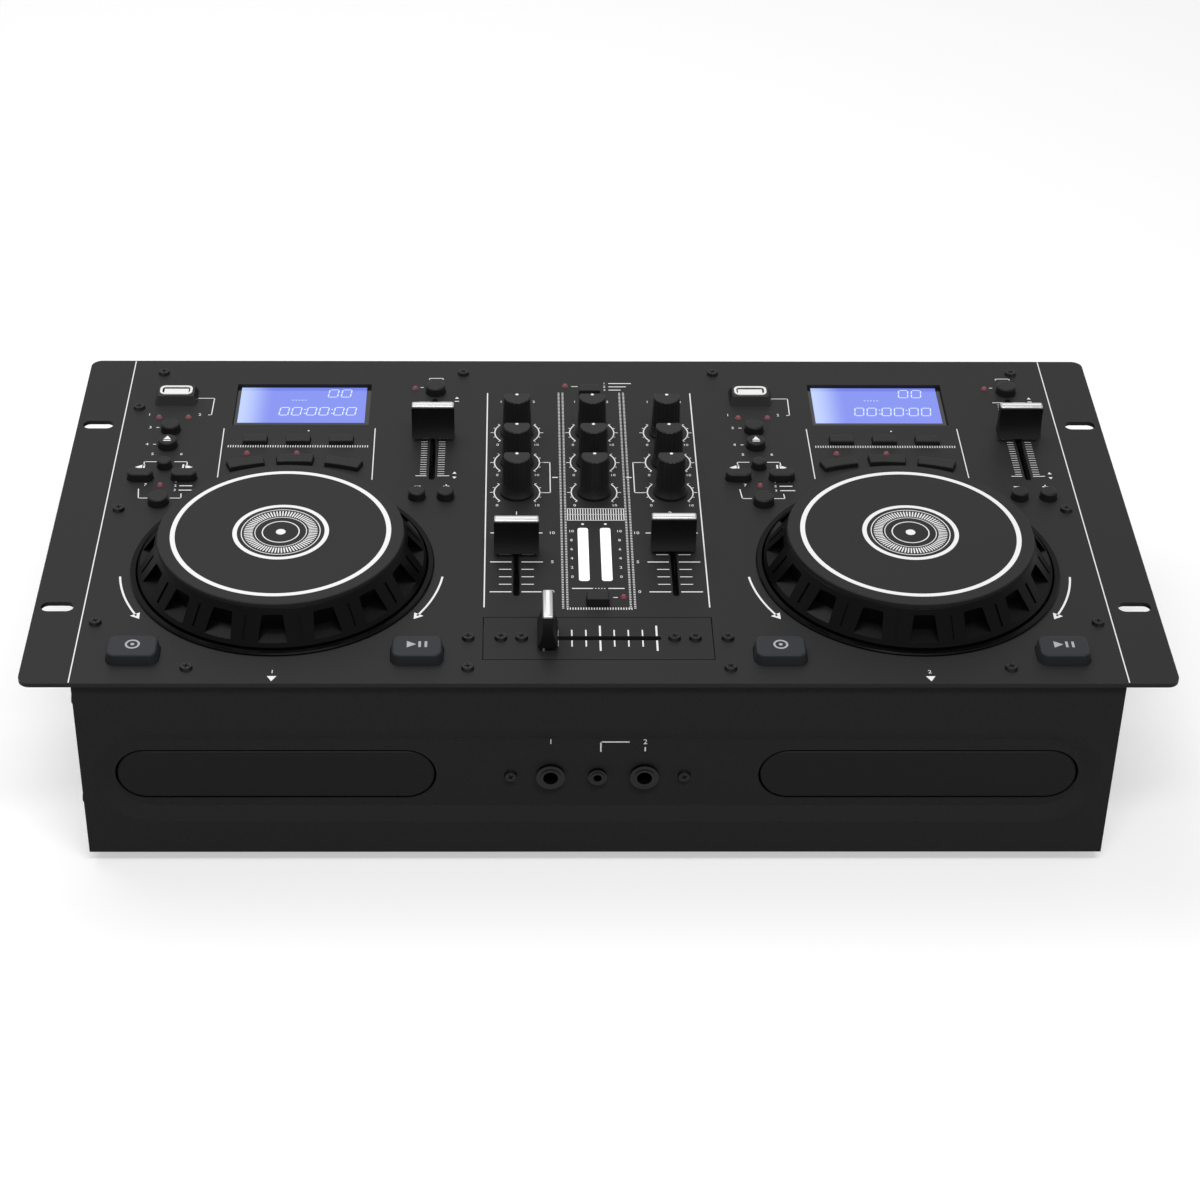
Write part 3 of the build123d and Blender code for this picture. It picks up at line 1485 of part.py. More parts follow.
with BuildPart() as rocker_frame:
    with BuildSketch(Plane.XZ.offset(-back_face)):
        with Locations((rocker_x, inlet_z)):
            Rectangle(rocker_frame_w, rocker_frame_h)
    extrude(amount=-rocker_proud)
    with BuildSketch(Plane.XZ.offset(-back_face)):
        with Locations((rocker_x, inlet_z)):
            Rectangle(rocker_frame_w - 2 * sheet_t, rocker_frame_h - 2 * sheet_t)
    extrude(amount=rocker_depth)
    with BuildSketch(Plane.XZ.offset(-(back_face + rocker_proud))):
        with Locations((rocker_x, inlet_z)):
            Rectangle(rocker_w - 2 * sheet_t + rocker_gap, rocker_h - 2 * sheet_t + rocker_gap)
    extrude(amount=rocker_proud + rocker_depth - rocker_floor_t, mode=Mode.SUBTRACT)
save_group("power_inlet", inlet_body.part, inlet_pins.part, rocker_frame.part)

rocker_axis_y = back_face - rocker_axis_in
with BuildPart() as power_rocker:
    width = rocker_w - 2 * sheet_t - rocker_gap
    half = (rocker_h - 2 * sheet_t - 2 * rocker_gap) / 2 - rocker_end_gap
    front = rocker_proud + rocker_face_out
    with BuildSketch(Plane.YZ.offset(rocker_x - width / 2)):
        with BuildLine():
            Polyline(
                (rocker_axis_y - rocker_foot_in, inlet_z - rocker_foot_h / 2),
                (rocker_axis_y - rocker_foot_in, inlet_z + rocker_foot_h / 2),
                (rocker_axis_y + rocker_mid_out, inlet_z + half),
                (rocker_axis_y + front + rocker_rise, inlet_z + half - rocker_edge),
                (rocker_axis_y + front, inlet_z),
                (rocker_axis_y + front, inlet_z - half + rocker_edge),
                (rocker_axis_y + rocker_mid_out, inlet_z - half),
                close=True,
            )
        make_face()
    extrude(amount=width)
save(power_rocker.part, "power_rocker")

# ---------------------------------------------------------------- power supply

supply_y = back_inside - supply_back_gap - supply_d / 2
supply_z = floor_z + sheet_t + supply_board_h
with BuildPart() as supply_board:
    with BuildSketch(Plane.XY.offset(supply_z)):
        with Locations((0, supply_y)):
            Rectangle(supply_w, supply_d)
    extrude(amount=board_t)
    with BuildSketch(Plane.XY.offset(supply_z)):
        with Locations((0, supply_y)):
            with GridLocations(supply_w - 2 * supply_post_in, supply_d - 2 * supply_post_in, 2, 2):
                Circle(standoff_d / 2)
    extrude(amount=-supply_board_h)
with BuildPart() as transformer_core:
    with BuildSketch(Plane.XY.offset(supply_z + board_t)):
        with Locations((-supply_w / 2 + core_w / 2 + core_in, supply_y)):
            Rectangle(core_w, core_d)
            Rectangle(coil_w, core_d, mode=Mode.SUBTRACT)
    extrude(amount=core_h)
with BuildPart() as transformer_coil:
    with BuildSketch(Plane.XY.offset(supply_z + board_t)):
        with Locations((-supply_w / 2 + core_w / 2 + core_in, supply_y)):
            RectangleRounded(coil_w, coil_d, coil_corner_r)
    extrude(amount=core_h - coil_drop)
with BuildPart() as capacitors:
    with BuildSketch(Plane.XY.offset(supply_z + board_t)):
        with Locations((supply_w / 2 - capacitor_in, supply_y)):
            with GridLocations(0, capacitor_pitch, 1, 2):
                Circle(capacitor_d / 2)
    extrude(amount=capacitor_h)
save_group(
    "power_supply", supply_board.part, transformer_core.part, transformer_coil.part, capacitors.part
)

# ---------------------------------------------------------------- screws


def screw(place):
    """A pan-head screw: the head stands on the face that the place's Z axis leaves."""
    with BuildPart() as fastener:
        with BuildSketch():
            Circle(screw_head_d / 2)
        extrude(amount=screw_head_t, taper=18)
        with BuildSketch():
            Circle(screw_d / 2)
        extrude(amount=-screw_l)
    return fastener.part.moved(place)


screws = [
    screw(Location((x, y, panel_top)))
    for x, y in panel_screw_places + cross_screw_places + carrier_screw_places
]
screws += [
    screw(Location((sign * side_x, front_face + wall_screw_in, z), (0, sign * 90, 0)))
    for sign in (-1, 1)
    for z in wall_screw_zs
]
screws += [
    screw(Location((sign * front_screw_dx, trough_floor, jack_z), (90, 0, 0))) for sign in (-1, 1)
]
save_group("panel_screws", *screws)
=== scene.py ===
# %% [markdown]
# # A two-deck disc player with a mixer
#
# The imported CAD model brings every solid piece: panel, wheels, keys, faders, knobs, trays. This
# notebook adds what a factory adds after the metalwork and the mouldings: paint, printing, lit
# displays and bright trims. It also adds painted shade: dark crosses where the screw recesses are,
# and a copy of the paint on the front toned for how light falls there. All of it rides on the CAD
# bodies, so a printed ring turns with its wheel.

import json
import math

import bmesh
import bpy
from mathutils import Matrix, Vector


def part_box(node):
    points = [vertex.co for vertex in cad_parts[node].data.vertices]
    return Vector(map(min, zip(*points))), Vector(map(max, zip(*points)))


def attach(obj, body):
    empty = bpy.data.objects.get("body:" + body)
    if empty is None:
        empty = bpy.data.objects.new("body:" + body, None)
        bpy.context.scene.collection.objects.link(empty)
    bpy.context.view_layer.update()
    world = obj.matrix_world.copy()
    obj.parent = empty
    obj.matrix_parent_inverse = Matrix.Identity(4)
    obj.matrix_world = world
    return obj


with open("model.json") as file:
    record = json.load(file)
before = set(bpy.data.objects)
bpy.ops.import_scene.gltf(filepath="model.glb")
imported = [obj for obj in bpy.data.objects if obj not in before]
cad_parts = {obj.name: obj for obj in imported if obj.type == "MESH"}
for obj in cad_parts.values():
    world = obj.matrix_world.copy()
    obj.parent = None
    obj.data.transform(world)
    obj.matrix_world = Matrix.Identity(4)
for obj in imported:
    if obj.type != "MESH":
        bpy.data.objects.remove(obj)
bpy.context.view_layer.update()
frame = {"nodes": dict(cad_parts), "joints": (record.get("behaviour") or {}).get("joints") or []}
nodes = frame["nodes"]

# %% [markdown]
# ## Units and places
#
# The frame is in metres, but a panel print is drawn in millimetres, so `MM` turns one into the
# other. The places that the CAD fixes are read from its nodes instead of being typed again.

# %% Places read from the frame
MM = 0.001
DECKS = ("left", "right")


def middle(node):
    low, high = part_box(node)
    return (low + high) / 2


PANEL_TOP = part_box("top_panel")[1].z
DECK_X = {side: middle("jog_wheel_" + side).x for side in DECKS}
JOG_Y = middle("jog_wheel_left").y
JOG_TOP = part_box("jog_wheel_left")[1].z
FRONT_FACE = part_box("front_panel")[0].y
LENS_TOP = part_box("display_modules")[1].z
print("decks at", [round(x / MM, 1) for x in DECK_X.values()], "panel at", round(PANEL_TOP / MM, 1))

# %% [markdown]
# ## Finishes
#
# Nearly everything on this machine is black, so the finishes differ by gloss and by grain rather
# than by colour: powder coat on steel, spark-eroded texture on keys, soft rubbery knobs, a satin
# wheel. One function makes them all. It could use image textures, but noise on Object coordinates
# needs no unwrapping and keeps its scale on every piece. The noise changes the colour a little,
# the roughness a little, and raises a fine bump.

# %% A painted or moulded surface
GRAIN_DETAIL = 3.0
TINT_FROM, TINT_TO = 0.3, 0.7
GLOSS_SPREAD = 0.06
GLOSS_LEAST = 0.02
BUMP_DEPTH = 0.1 * MM


def surface(tree, colour, roughness, grain, bump=0.15, metallic=0.0, vary=0.12, shine=0.5):
    """A Principled shader whose colour, roughness and height follow a noise of one grain (mm)."""
    shader = tree.nodes.new("ShaderNodeBsdfPrincipled")
    shader.inputs["Metallic"].default_value = metallic
    shader.inputs["Specular IOR Level"].default_value = shine
    place = tree.nodes.new("ShaderNodeTexCoord")
    noise = tree.nodes.new("ShaderNodeTexNoise")
    noise.inputs["Scale"].default_value = 1.0 / (grain * MM)
    noise.inputs["Detail"].default_value = GRAIN_DETAIL
    tree.links.new(place.outputs["Object"], noise.inputs["Vector"])
    tint = tree.nodes.new("ShaderNodeValToRGB")
    low, high = tint.color_ramp.elements
    low.position, high.position = TINT_FROM, TINT_TO
    low.color = (*[c * (1 - vary) for c in colour], 1)
    high.color = (*[min(1, c * (1 + vary)) for c in colour], 1)
    tree.links.new(noise.outputs["Fac"], tint.inputs["Fac"])
    tree.links.new(tint.outputs["Color"], shader.inputs["Base Color"])
    gloss = tree.nodes.new("ShaderNodeMapRange")
    gloss.inputs["To Min"].default_value = max(GLOSS_LEAST, roughness - GLOSS_SPREAD)
    gloss.inputs["To Max"].default_value = min(1.0, roughness + GLOSS_SPREAD)
    tree.links.new(noise.outputs["Fac"], gloss.inputs["Value"])
    tree.links.new(gloss.outputs["Result"], shader.inputs["Roughness"])
    raised = tree.nodes.new("ShaderNodeBump")
    raised.inputs["Strength"].default_value = bump
    raised.inputs["Distance"].default_value = BUMP_DEPTH
    tree.links.new(noise.outputs["Fac"], raised.inputs["Height"])
    tree.links.new(raised.outputs["Normal"], shader.inputs["Normal"])
    return shader


def empty_material(name):
    """A material with nothing in it but its output."""
    material = bpy.data.materials.new(name)
    material.use_nodes = True
    tree = material.node_tree
    tree.nodes.remove(tree.nodes["Principled BSDF"])
    return material, tree, tree.nodes["Material Output"]


def finish(name, *look, **more):
    """One surface as a material: colour, roughness and grain, then what else it needs."""
    material, tree, output = empty_material(name)
    shader = surface(tree, *look, **more)
    tree.links.new(shader.outputs["BSDF"], output.inputs["Surface"])
    return material


# %% The finishes
POWDER = dict(colour=(0.019, 0.019, 0.0193), roughness=0.48, grain=0.35, bump=0.20, shine=0.09)
powder_coat = finish("powder_coat", **POWDER)
# painted light: the front and the tub take a copy of the powder coat whose colour and gloss are set
# for how light falls on the front
front_coat_painted_light = finish("front_coat_painted_light", (0.0225, 0.0225, 0.0228), 0.42, 0.5, bump=0.12, shine=0.03)
rubber = finish("foot_rubber", (0.012, 0.012, 0.012), 0.85, 0.5, bump=0.3, shine=0.2)
well_plastic = finish("well_plastic", (0.0012, 0.0012, 0.0012), 0.25, 0.8, bump=0.02, shine=0.06)
key_plastic = finish("key_plastic", (0.014, 0.014, 0.0145), 0.40, 0.25, bump=0.12, shine=0.12)
pad_plastic = finish("pad_plastic", (0.022, 0.0235, 0.027), 0.45, 0.3, bump=0.12, shine=0.12)
cap_plastic = finish("cap_plastic", (0.006, 0.006, 0.0062), 0.34, 0.3, bump=0.04, shine=0.16)
knob_rubber = finish("knob_rubber", (0.011, 0.011, 0.0113), 0.46, 0.25, bump=0.15, shine=0.18)
gloss_black = finish("gloss_black", (0.0025, 0.0025, 0.0025), 0.2, 2.0, bump=0.02, shine=0.25)
tray_plastic = finish("tray_plastic", (0.0095, 0.0095, 0.0097), 0.36, 0.4, bump=0.10, shine=0.08)
board_mask = finish("board_mask", (0.015, 0.08, 0.035), 0.35, 1.2, bump=0.1)
black_zinc = finish(
    "black_zinc", (0.024, 0.024, 0.025), 0.30, 0.4, bump=0.06, metallic=0.8, shine=0.2
)
silver_trim = finish(
    "silver_trim", (0.42, 0.42, 0.425), 0.34, 3.0, bump=0.0, metallic=0.8, vary=0.02
)
slot_steel = finish(
    "slot_steel", (0.010, 0.010, 0.010), 0.5, 1.0, bump=0.05, metallic=0.5, shine=0.2
)
supply_metal = finish("supply_metal", (0.30, 0.27, 0.22), 0.40, 1.0, bump=0.1, metallic=0.6)
white_ink = finish("white_ink", (0.80, 0.80, 0.80), 0.55, 0.4, bump=0.02, vary=0.03)
grey_ink = finish("grey_ink", (0.36, 0.37, 0.39), 0.55, 0.4, bump=0.02, vary=0.03)
white_plastic = finish("white_plastic", (0.80, 0.80, 0.79), 0.35, 0.6, bump=0.03, vary=0.03)
red_plastic = finish("red_plastic", (0.45, 0.01, 0.01), 0.35, 0.6, bump=0.03)
# painted shade: near black for the shadow inside the screw recesses
painted_recess_shade = finish("painted_recess_shade", (0.003, 0.003, 0.003), 0.7, 0.5, bump=0.05, shine=0.1)
print("finishes:", len(bpy.data.materials))

# %% [markdown]
# ## Light that comes from inside
#
# Lamps, level meters and displays glow. Each gets an emission on top of a glossy plastic, so it
# still shows a reflection. Real lamps in the scene would also light the panel, but these are too
# weak to do so. Where one CAD node holds pieces of two looks, a mask on Object coordinates picks
# between them, which needs no second mesh.

# %% Masks on Object coordinates


def split_place(tree):
    """The three Object coordinates, in metres."""
    place = tree.nodes.new("ShaderNodeTexCoord")
    split = tree.nodes.new("ShaderNodeSeparateXYZ")
    tree.links.new(place.outputs["Object"], split.inputs["Vector"])
    return split


def compare(tree, value, limit, operation="GREATER_THAN"):
    """1 where value is above (or below) a limit in metres."""
    test = tree.nodes.new("ShaderNodeMath")
    test.operation = operation
    tree.links.new(value, test.inputs[0])
    test.inputs[1].default_value = limit
    return test.outputs["Value"]


def both(tree, first, second):
    """1 where two masks are both 1."""
    product = tree.nodes.new("ShaderNodeMath")
    product.operation = "MULTIPLY"
    tree.links.new(first, product.inputs[0])
    tree.links.new(second, product.inputs[1])
    return product.outputs["Value"]


def distance_from(tree, value, centre):
    """How far a coordinate is from a centre, both ways alike."""
    shift = tree.nodes.new("ShaderNodeMath")
    shift.operation = "SUBTRACT"
    tree.links.new(value, shift.inputs[0])
    shift.inputs[1].default_value = centre
    size = tree.nodes.new("ShaderNodeMath")
    size.operation = "ABSOLUTE"
    tree.links.new(shift.outputs["Value"], size.inputs[0])
    return size.outputs["Value"]


def glow(name, colour, strength, roughness=0.25):
    """A plain plastic lit from inside in its own colour."""
    material = bpy.data.materials.new(name)
    material.use_nodes = True
    shader = material.node_tree.nodes["Principled BSDF"]
    shader.inputs["Base Color"].default_value = (*colour, 1)
    shader.inputs["Roughness"].default_value = roughness
    shader.inputs["Emission Color"].default_value = (*colour, 1)
    shader.inputs["Emission Strength"].default_value = strength
    return material


segment_light = glow("segment_light", (0.46, 0.54, 1.0), 0.72)

# %% The blue display
SCREEN_W = 60.2 * MM
SCREEN_D = 31.6 * MM
SCREEN_DX = 0.3 * MM
SCREEN_Y = 91.4 * MM
SCREEN_BLUE = (0.19, 0.25, 0.86)
SCREEN_PALE = (0.50, 0.62, 1.00)
SCREEN_FRAME = (0.008, 0.008, 0.012)
SCREEN_LIGHT = 0.95
SCREEN_GLOSS = 0.12
LENS_SKIN = 0.05 * MM
GLOW_WIDTH = 16 * MM


def display_material():
    """Dark frame, and a blue lit field that is paler at its left end, in both windows."""
    material = bpy.data.materials.new("display")
    material.use_nodes = True
    tree = material.node_tree
    shader = tree.nodes["Principled BSDF"]
    shader.inputs["Roughness"].default_value = SCREEN_GLOSS
    split = split_place(tree)
    x, y, z = split.outputs["X"], split.outputs["Y"], split.outputs["Z"]
    # both decks fold onto one: the distance from the left screen or from the right one
    right = compare(tree, x, 0.0)
    centre = tree.nodes.new("ShaderNodeMapRange")
    centre.inputs["To Min"].default_value = DECK_X["left"] + SCREEN_DX
    centre.inputs["To Max"].default_value = DECK_X["right"] + SCREEN_DX
    tree.links.new(right, centre.inputs["Value"])
    local = tree.nodes.new("ShaderNodeMath")
    local.operation = "SUBTRACT"
    tree.links.new(x, local.inputs[0])
    tree.links.new(centre.outputs["Result"], local.inputs[1])
    off_x = distance_from(tree, local.outputs["Value"], 0.0)
    off_y = distance_from(tree, y, SCREEN_Y)
    inside_x = compare(tree, off_x, SCREEN_W / 2, "LESS_THAN")
    inside_y = compare(tree, off_y, SCREEN_D / 2, "LESS_THAN")
    on_top = compare(tree, z, LENS_TOP - LENS_SKIN)
    lit = both(tree, both(tree, inside_x, inside_y), on_top)
    shade = tree.nodes.new("ShaderNodeMapRange")
    shade.interpolation_type = "SMOOTHSTEP"
    shade.inputs["From Min"].default_value = -SCREEN_W / 2
    shade.inputs["From Max"].default_value = -SCREEN_W / 2 + GLOW_WIDTH
    tree.links.new(local.outputs["Value"], shade.inputs["Value"])
    ramp = tree.nodes.new("ShaderNodeValToRGB")
    ramp.color_ramp.elements[0].color = (*SCREEN_PALE, 1)
    ramp.color_ramp.elements[1].color = (*SCREEN_BLUE, 1)
    tree.links.new(shade.outputs["Result"], ramp.inputs["Fac"])
    light = tree.nodes.new("ShaderNodeMix")
    light.data_type = "RGBA"
    light.inputs["A"].default_value = (0.0, 0.0, 0.0, 1)
    tree.links.new(lit, light.inputs["Factor"])
    tree.links.new(ramp.outputs["Color"], light.inputs["B"])
    shader.inputs["Base Color"].default_value = (*SCREEN_FRAME, 1)
    shader.inputs["Emission Strength"].default_value = SCREEN_LIGHT
    tree.links.new(light.outputs["Result"], shader.inputs["Emission Color"])
    return material


display_glass = display_material()

# %% Red lamps and white meters in one node
METER_HALF_W = 8 * MM
METER_BACK = -14 * MM
METER_FRONT = -57 * MM
LAMP_GLOSS = 0.2
LAMP_LIGHT = 0.5
LAMP_LOOKS = (
    ("Base Color", (0.10, 0.012, 0.018), (0.85, 0.85, 0.85)),
    ("Emission Color", (0.13, 0.028, 0.040), (0.80, 0.80, 0.80)),
)


def lamp_material():
    """Red lens everywhere, but white between the meters' limits."""
    material = bpy.data.materials.new("lamps")
    material.use_nodes = True
    tree = material.node_tree
    shader = tree.nodes["Principled BSDF"]
    shader.inputs["Roughness"].default_value = LAMP_GLOSS
    split = split_place(tree)
    middle_y = (METER_BACK + METER_FRONT) / 2
    half_y = (METER_BACK - METER_FRONT) / 2
    off_x = distance_from(tree, split.outputs["X"], 0.0)
    off_y = distance_from(tree, split.outputs["Y"], middle_y)
    near_x = compare(tree, off_x, METER_HALF_W, "LESS_THAN")
    near_y = compare(tree, off_y, half_y, "LESS_THAN")
    meter = both(tree, near_x, near_y)
    for socket, lamp_colour, meter_colour in LAMP_LOOKS:
        mix = tree.nodes.new("ShaderNodeMix")
        mix.data_type = "RGBA"
        mix.inputs["A"].default_value = (*lamp_colour, 1)
        mix.inputs["B"].default_value = (*meter_colour, 1)
        tree.links.new(meter, mix.inputs["Factor"])
        tree.links.new(mix.outputs["Result"], shader.inputs[socket])
    shader.inputs["Emission Strength"].default_value = LAMP_LIGHT
    return material


lamp_glass = lamp_material()

# %% [markdown]
# ## Dress the CAD nodes
#
# Each CAD node keeps its mesh and gets one finish. A wheel has a painted plate on a darker glossy
# skirt, and the phono sockets are metal barrels in black plastic, so those two nodes use a mask on
# one coordinate, as the displays do. The rest is one finish a node.

# %% A finish of two materials in one node


def two_looks(name, low_look, high_look, axis, limit):
    """The high look where a coordinate is above a limit (metres), the low one elsewhere."""
    material, tree, output = empty_material(name)
    split = split_place(tree)
    mixer = tree.nodes.new("ShaderNodeMixShader")
    tree.links.new(compare(tree, split.outputs[axis], limit), mixer.inputs["Fac"])
    for slot, look in ((1, low_look), (2, high_look)):
        tree.links.new(surface(tree, **look).outputs["BSDF"], mixer.inputs[slot])
    tree.links.new(mixer.outputs["Shader"], output.inputs["Surface"])
    return material


BACK_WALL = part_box("chassis_tub")[1].y
PHONO_BASE_T = 1.2 * MM
phono_metal = two_looks(
    "phono_metal",
    dict(colour=(0.010, 0.010, 0.010), roughness=0.4, grain=0.5, shine=0.3),
    dict(colour=(0.70, 0.66, 0.55), roughness=0.25, grain=1.0, bump=0.04, metallic=1.0),
    "Y",
    BACK_WALL + PHONO_BASE_T,
)
PLATE_T = 2.2 * MM
wheel_plastic = two_looks(
    "wheel_plastic",
    dict(colour=(0.0018, 0.0018, 0.0019), roughness=0.30, grain=1.2, bump=0.0, shine=0.06),
    dict(POWDER, grain=0.25, bump=0.12),
    "Z",
    JOG_TOP - PLATE_T,
)

# %% Give every node its finish
DRESS = {
    "top_panel": powder_coat,
    "crossfader_plate": powder_coat,
    # painted light: the tub and the front use the powder coat's copy toned for how light falls on
    # the front
    "chassis_tub": front_coat_painted_light,
    "front_panel": front_coat_painted_light,
    "feet": rubber,
    "jog_wells": well_plastic,
    "display_modules": display_glass,
    "indicator_lamps": lamp_glass,
    "usb_sockets": gloss_black,
    "control_boards": board_mask,
    "fader_bodies": slot_steel,
    "disc_loaders": tray_plastic,
    "front_sockets": gloss_black,
    "rear_sockets": phono_metal,
    "power_inlet": gloss_black,
    "power_supply": supply_metal,
    "panel_screws": black_zinc,
    "power_rocker": gloss_black,
}
BY_START = (
    ("jog_wheel_", wheel_plastic),
    ("disc_tray_", tray_plastic),
    ("cue_button_", pad_plastic),
    ("play_button_", pad_plastic),
)
BY_WORD = (("fader_cap", cap_plastic), ("knob", knob_rubber))


def finish_of(name):
    """A node's finish by its name, by how it starts or by a word in it. The rest are keys."""
    if name in DRESS:
        return DRESS[name]
    for start, material in BY_START:
        if name.startswith(start):
            return material
    for word, material in BY_WORD:
        if word in name:
            return material
    return key_plastic


for name, node in nodes.items():
    node.data.materials.clear()
    node.data.materials.append(finish_of(name))
print("dressed", len(nodes), "nodes")

# %% [markdown]
# ## A kit for printing
#
# Screen printing is a film of ink about 0.03 mm thick. Drawing it in the paint's shader would need
# a formula for each mark. Here each mark is a very thin solid on the panel, so it exports as
# geometry and stays sharp close up.

# %% Marks
INK = 0.04 * MM
WELD = 0.0005 * MM
FIGURE_FILL = 0.7
SHARP_ANGLE = 40


def sheet_at(level):
    """A new bmesh for marks on a surface at this height (metres)."""
    sheet = bmesh.new()
    return sheet, level + INK / 2


def bar(sheet, level, start, end, width):
    """A straight line of ink from start to end, in mm."""
    first, second = Vector(start) * MM, Vector(end) * MM
    along = second - first
    turn = Matrix.Rotation(math.atan2(along.y, along.x), 4, "Z")
    centre = (first + second) / 2
    size = Matrix.Diagonal((along.length, width * MM, INK, 1))
    place = Matrix.Translation((centre.x, centre.y, level)) @ turn @ size
    bmesh.ops.create_cube(sheet, size=1.0, matrix=place)


def lines(sheet, level, points, width):
    """A bent line: bars from point to point, each running half a width past its corner."""
    for start, end in zip(points, points[1:]):
        along = (Vector(end) - Vector(start)).normalized() * width / 2
        bar(sheet, level, Vector(start) - along, Vector(end) + along, width)


def dot(sheet, level, centre, diameter, corners=16, turn=0.0):
    """A disc, or with few corners a triangle or a square, turned in degrees."""
    place = Matrix.Translation((centre[0] * MM, centre[1] * MM, level))
    place = place @ Matrix.Rotation(math.radians(turn), 4, "Z")
    radius = diameter / 2 * MM
    bmesh.ops.create_cone(
        sheet,
        cap_ends=True,
        segments=corners,
        radius1=radius,
        radius2=radius,
        depth=INK,
        matrix=place,
    )


def arc(sheet, level, centre, radius, width, start=0.0, sweep=360.0, step=4.0):
    """A ring or an arc: a thin upright face spun about the centre. Angles in degrees from +X."""
    middle_point = Vector((centre[0] * MM, centre[1] * MM, level))
    turn = Matrix.Rotation(math.radians(start), 4, "Z")
    face = bmesh.ops.create_grid(sheet, x_segments=1, y_segments=1, size=0.5)["verts"]
    stand = Matrix.Rotation(math.radians(90), 4, "X") @ Matrix.Diagonal((width * MM, INK, 1, 1))
    place = Matrix.Translation(middle_point) @ turn @ Matrix.Translation((radius * MM, 0, 0))
    bmesh.ops.transform(sheet, matrix=place @ stand, verts=face)
    whole = abs(sweep) >= 360
    edges = list({e for v in face for e in v.link_edges})
    inside = list({f for v in face for f in v.link_faces})
    if whole:
        # a ring has no ends, so the face that was spun would stay inside it
        bmesh.ops.delete(sheet, geom=inside, context="FACES_ONLY")
        inside = []
    bmesh.ops.spin(
        sheet,
        geom=face + edges + inside,
        cent=middle_point,
        axis=(0, 0, 1),
        angle=math.radians(sweep),
        steps=max(3, round(abs(sweep) / step)),
        use_merge=whole,
        use_duplicate=False,
    )


def numeral(sheet, level, text, centre, height, turn=0.0):
    """Plain figures, drawn with the built-in face and centred on a point (mm)."""
    curve = bpy.data.curves.new("figures", "FONT")
    curve.body = text
    curve.size = height * MM / FIGURE_FILL
    curve.align_x = "CENTER"
    curve.align_y = "CENTER"
    curve.extrude = INK / 2
    curve.resolution_u = 2
    carrier = bpy.data.objects.new("figures", curve)
    bpy.context.scene.collection.objects.link(carrier)
    bpy.context.view_layer.update()
    mesh = bpy.data.meshes.new_from_object(carrier)
    # the faces of a figure and its sides come unjoined, so they are welded into one solid
    figure = bmesh.new()
    figure.from_mesh(mesh)
    bmesh.ops.remove_doubles(figure, verts=figure.verts[:], dist=WELD)
    bmesh.ops.dissolve_degenerate(figure, dist=WELD, edges=figure.edges[:])
    figure.to_mesh(mesh)
    figure.free()
    place = Matrix.Translation((centre[0] * MM, centre[1] * MM, level))
    mesh.transform(place @ Matrix.Rotation(math.radians(turn), 4, "Z"))
    sheet.from_mesh(mesh)
    bpy.data.objects.remove(carrier)
    bpy.data.meshes.remove(mesh)
    bpy.data.curves.remove(curve)


def piece(name, sheet, body, material, smooth=False):
    """Turn a bmesh into an object that rides on a body."""
    bmesh.ops.recalc_face_normals(sheet, faces=sheet.faces[:])
    mesh = bpy.data.meshes.new(name)
    sheet.to_mesh(mesh)
    sheet.free()
    if smooth:
        mesh.shade_smooth()
        mesh.set_sharp_from_angle(angle=math.radians(SHARP_ANGLE))
    mesh.materials.append(material)
    made = bpy.data.objects.new(name, mesh)
    bpy.context.scene.collection.objects.link(made)
    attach(made, body)
    return made


# %% [markdown]
# ## Printing on a deck
#
# The two decks carry the same print, one deck pitch apart, so it is drawn once about a deck's
# middle line and placed twice. Lengths are from the panel's centre. Words are left off: where the
# machine has a word beside a key, the sheet has a plain figure.

# %% One deck's print
LINE = 0.45
THIN = 0.3
HEAVY = 0.6
FIGURE = 2.0
TRIANGLE = 3
KEY_FIGURES = (
    ("1", (-71.4, 79.8)),
    ("2", (-47.6, 79.8)),
    ("3", (-69.8, 68.4)),
    ("4", (-69.8, 53.8)),
    ("5", (-66.4, 45.4)),
    ("6", (-53.0, 45.4)),
    ("7", (-67.0, 19.6)),
    ("8", (-23.4, 40.6)),
    ("9", (-0.3, 40.6)),
    ("10", (22.8, 40.6)),
)
DECK_LINES = (
    # from the USB socket to its lamp
    ((-49.4, 94.5), (-41.9, 94.5), (-42.1, 79.6), (-43.4, 79.6)),
    # brackets round the search keys and the mode key
    ((-64.0, 38.9), (-69.5, 38.9), (-69.3, 35.6)),
    ((-55.4, 38.9), (-49.7, 38.9), (-49.5, 35.6)),
    ((-69.7, 16.1), (-69.0, 8.7), (-64.9, 8.7)),
    ((-54.5, 8.7), (-49.7, 8.7), (-50.0, 12.2)),
    # both sides of the section under the display
    ((-35.1, 67.4), (-34.6, 25.2)),
    ((35.9, 67.6), (36.2, 24.2)),
    # bracket of the pitch key
    ((60.3, 112.0), (60.3, 113.0), (66.9, 113.0), (66.9, 112.0)),
)
# dashes beside keys, bars of the search keys, the top pitch mark, the bend keys' minus and plus
DECK_BARS = (
    ((-67.0, 68.4), (-65.6, 68.4), LINE),
    ((-67.0, 53.8), (-65.6, 53.8), LINE),
    ((56.2, 104.6), (57.7, 104.6), LINE),
    ((-69.2, 36.6), (-69.2, 32.6), 0.8),
    ((-51.2, 36.6), (-51.2, 32.6), 0.8),
    ((72.9, 92.0), (74.9, 92.0), HEAVY),
    ((55.8, 18.6), (58.6, 18.6), HEAVY),
    ((68.9, 18.6), (71.7, 18.6), HEAVY),
    ((70.3, 17.2), (70.3, 20.0), HEAVY),
)
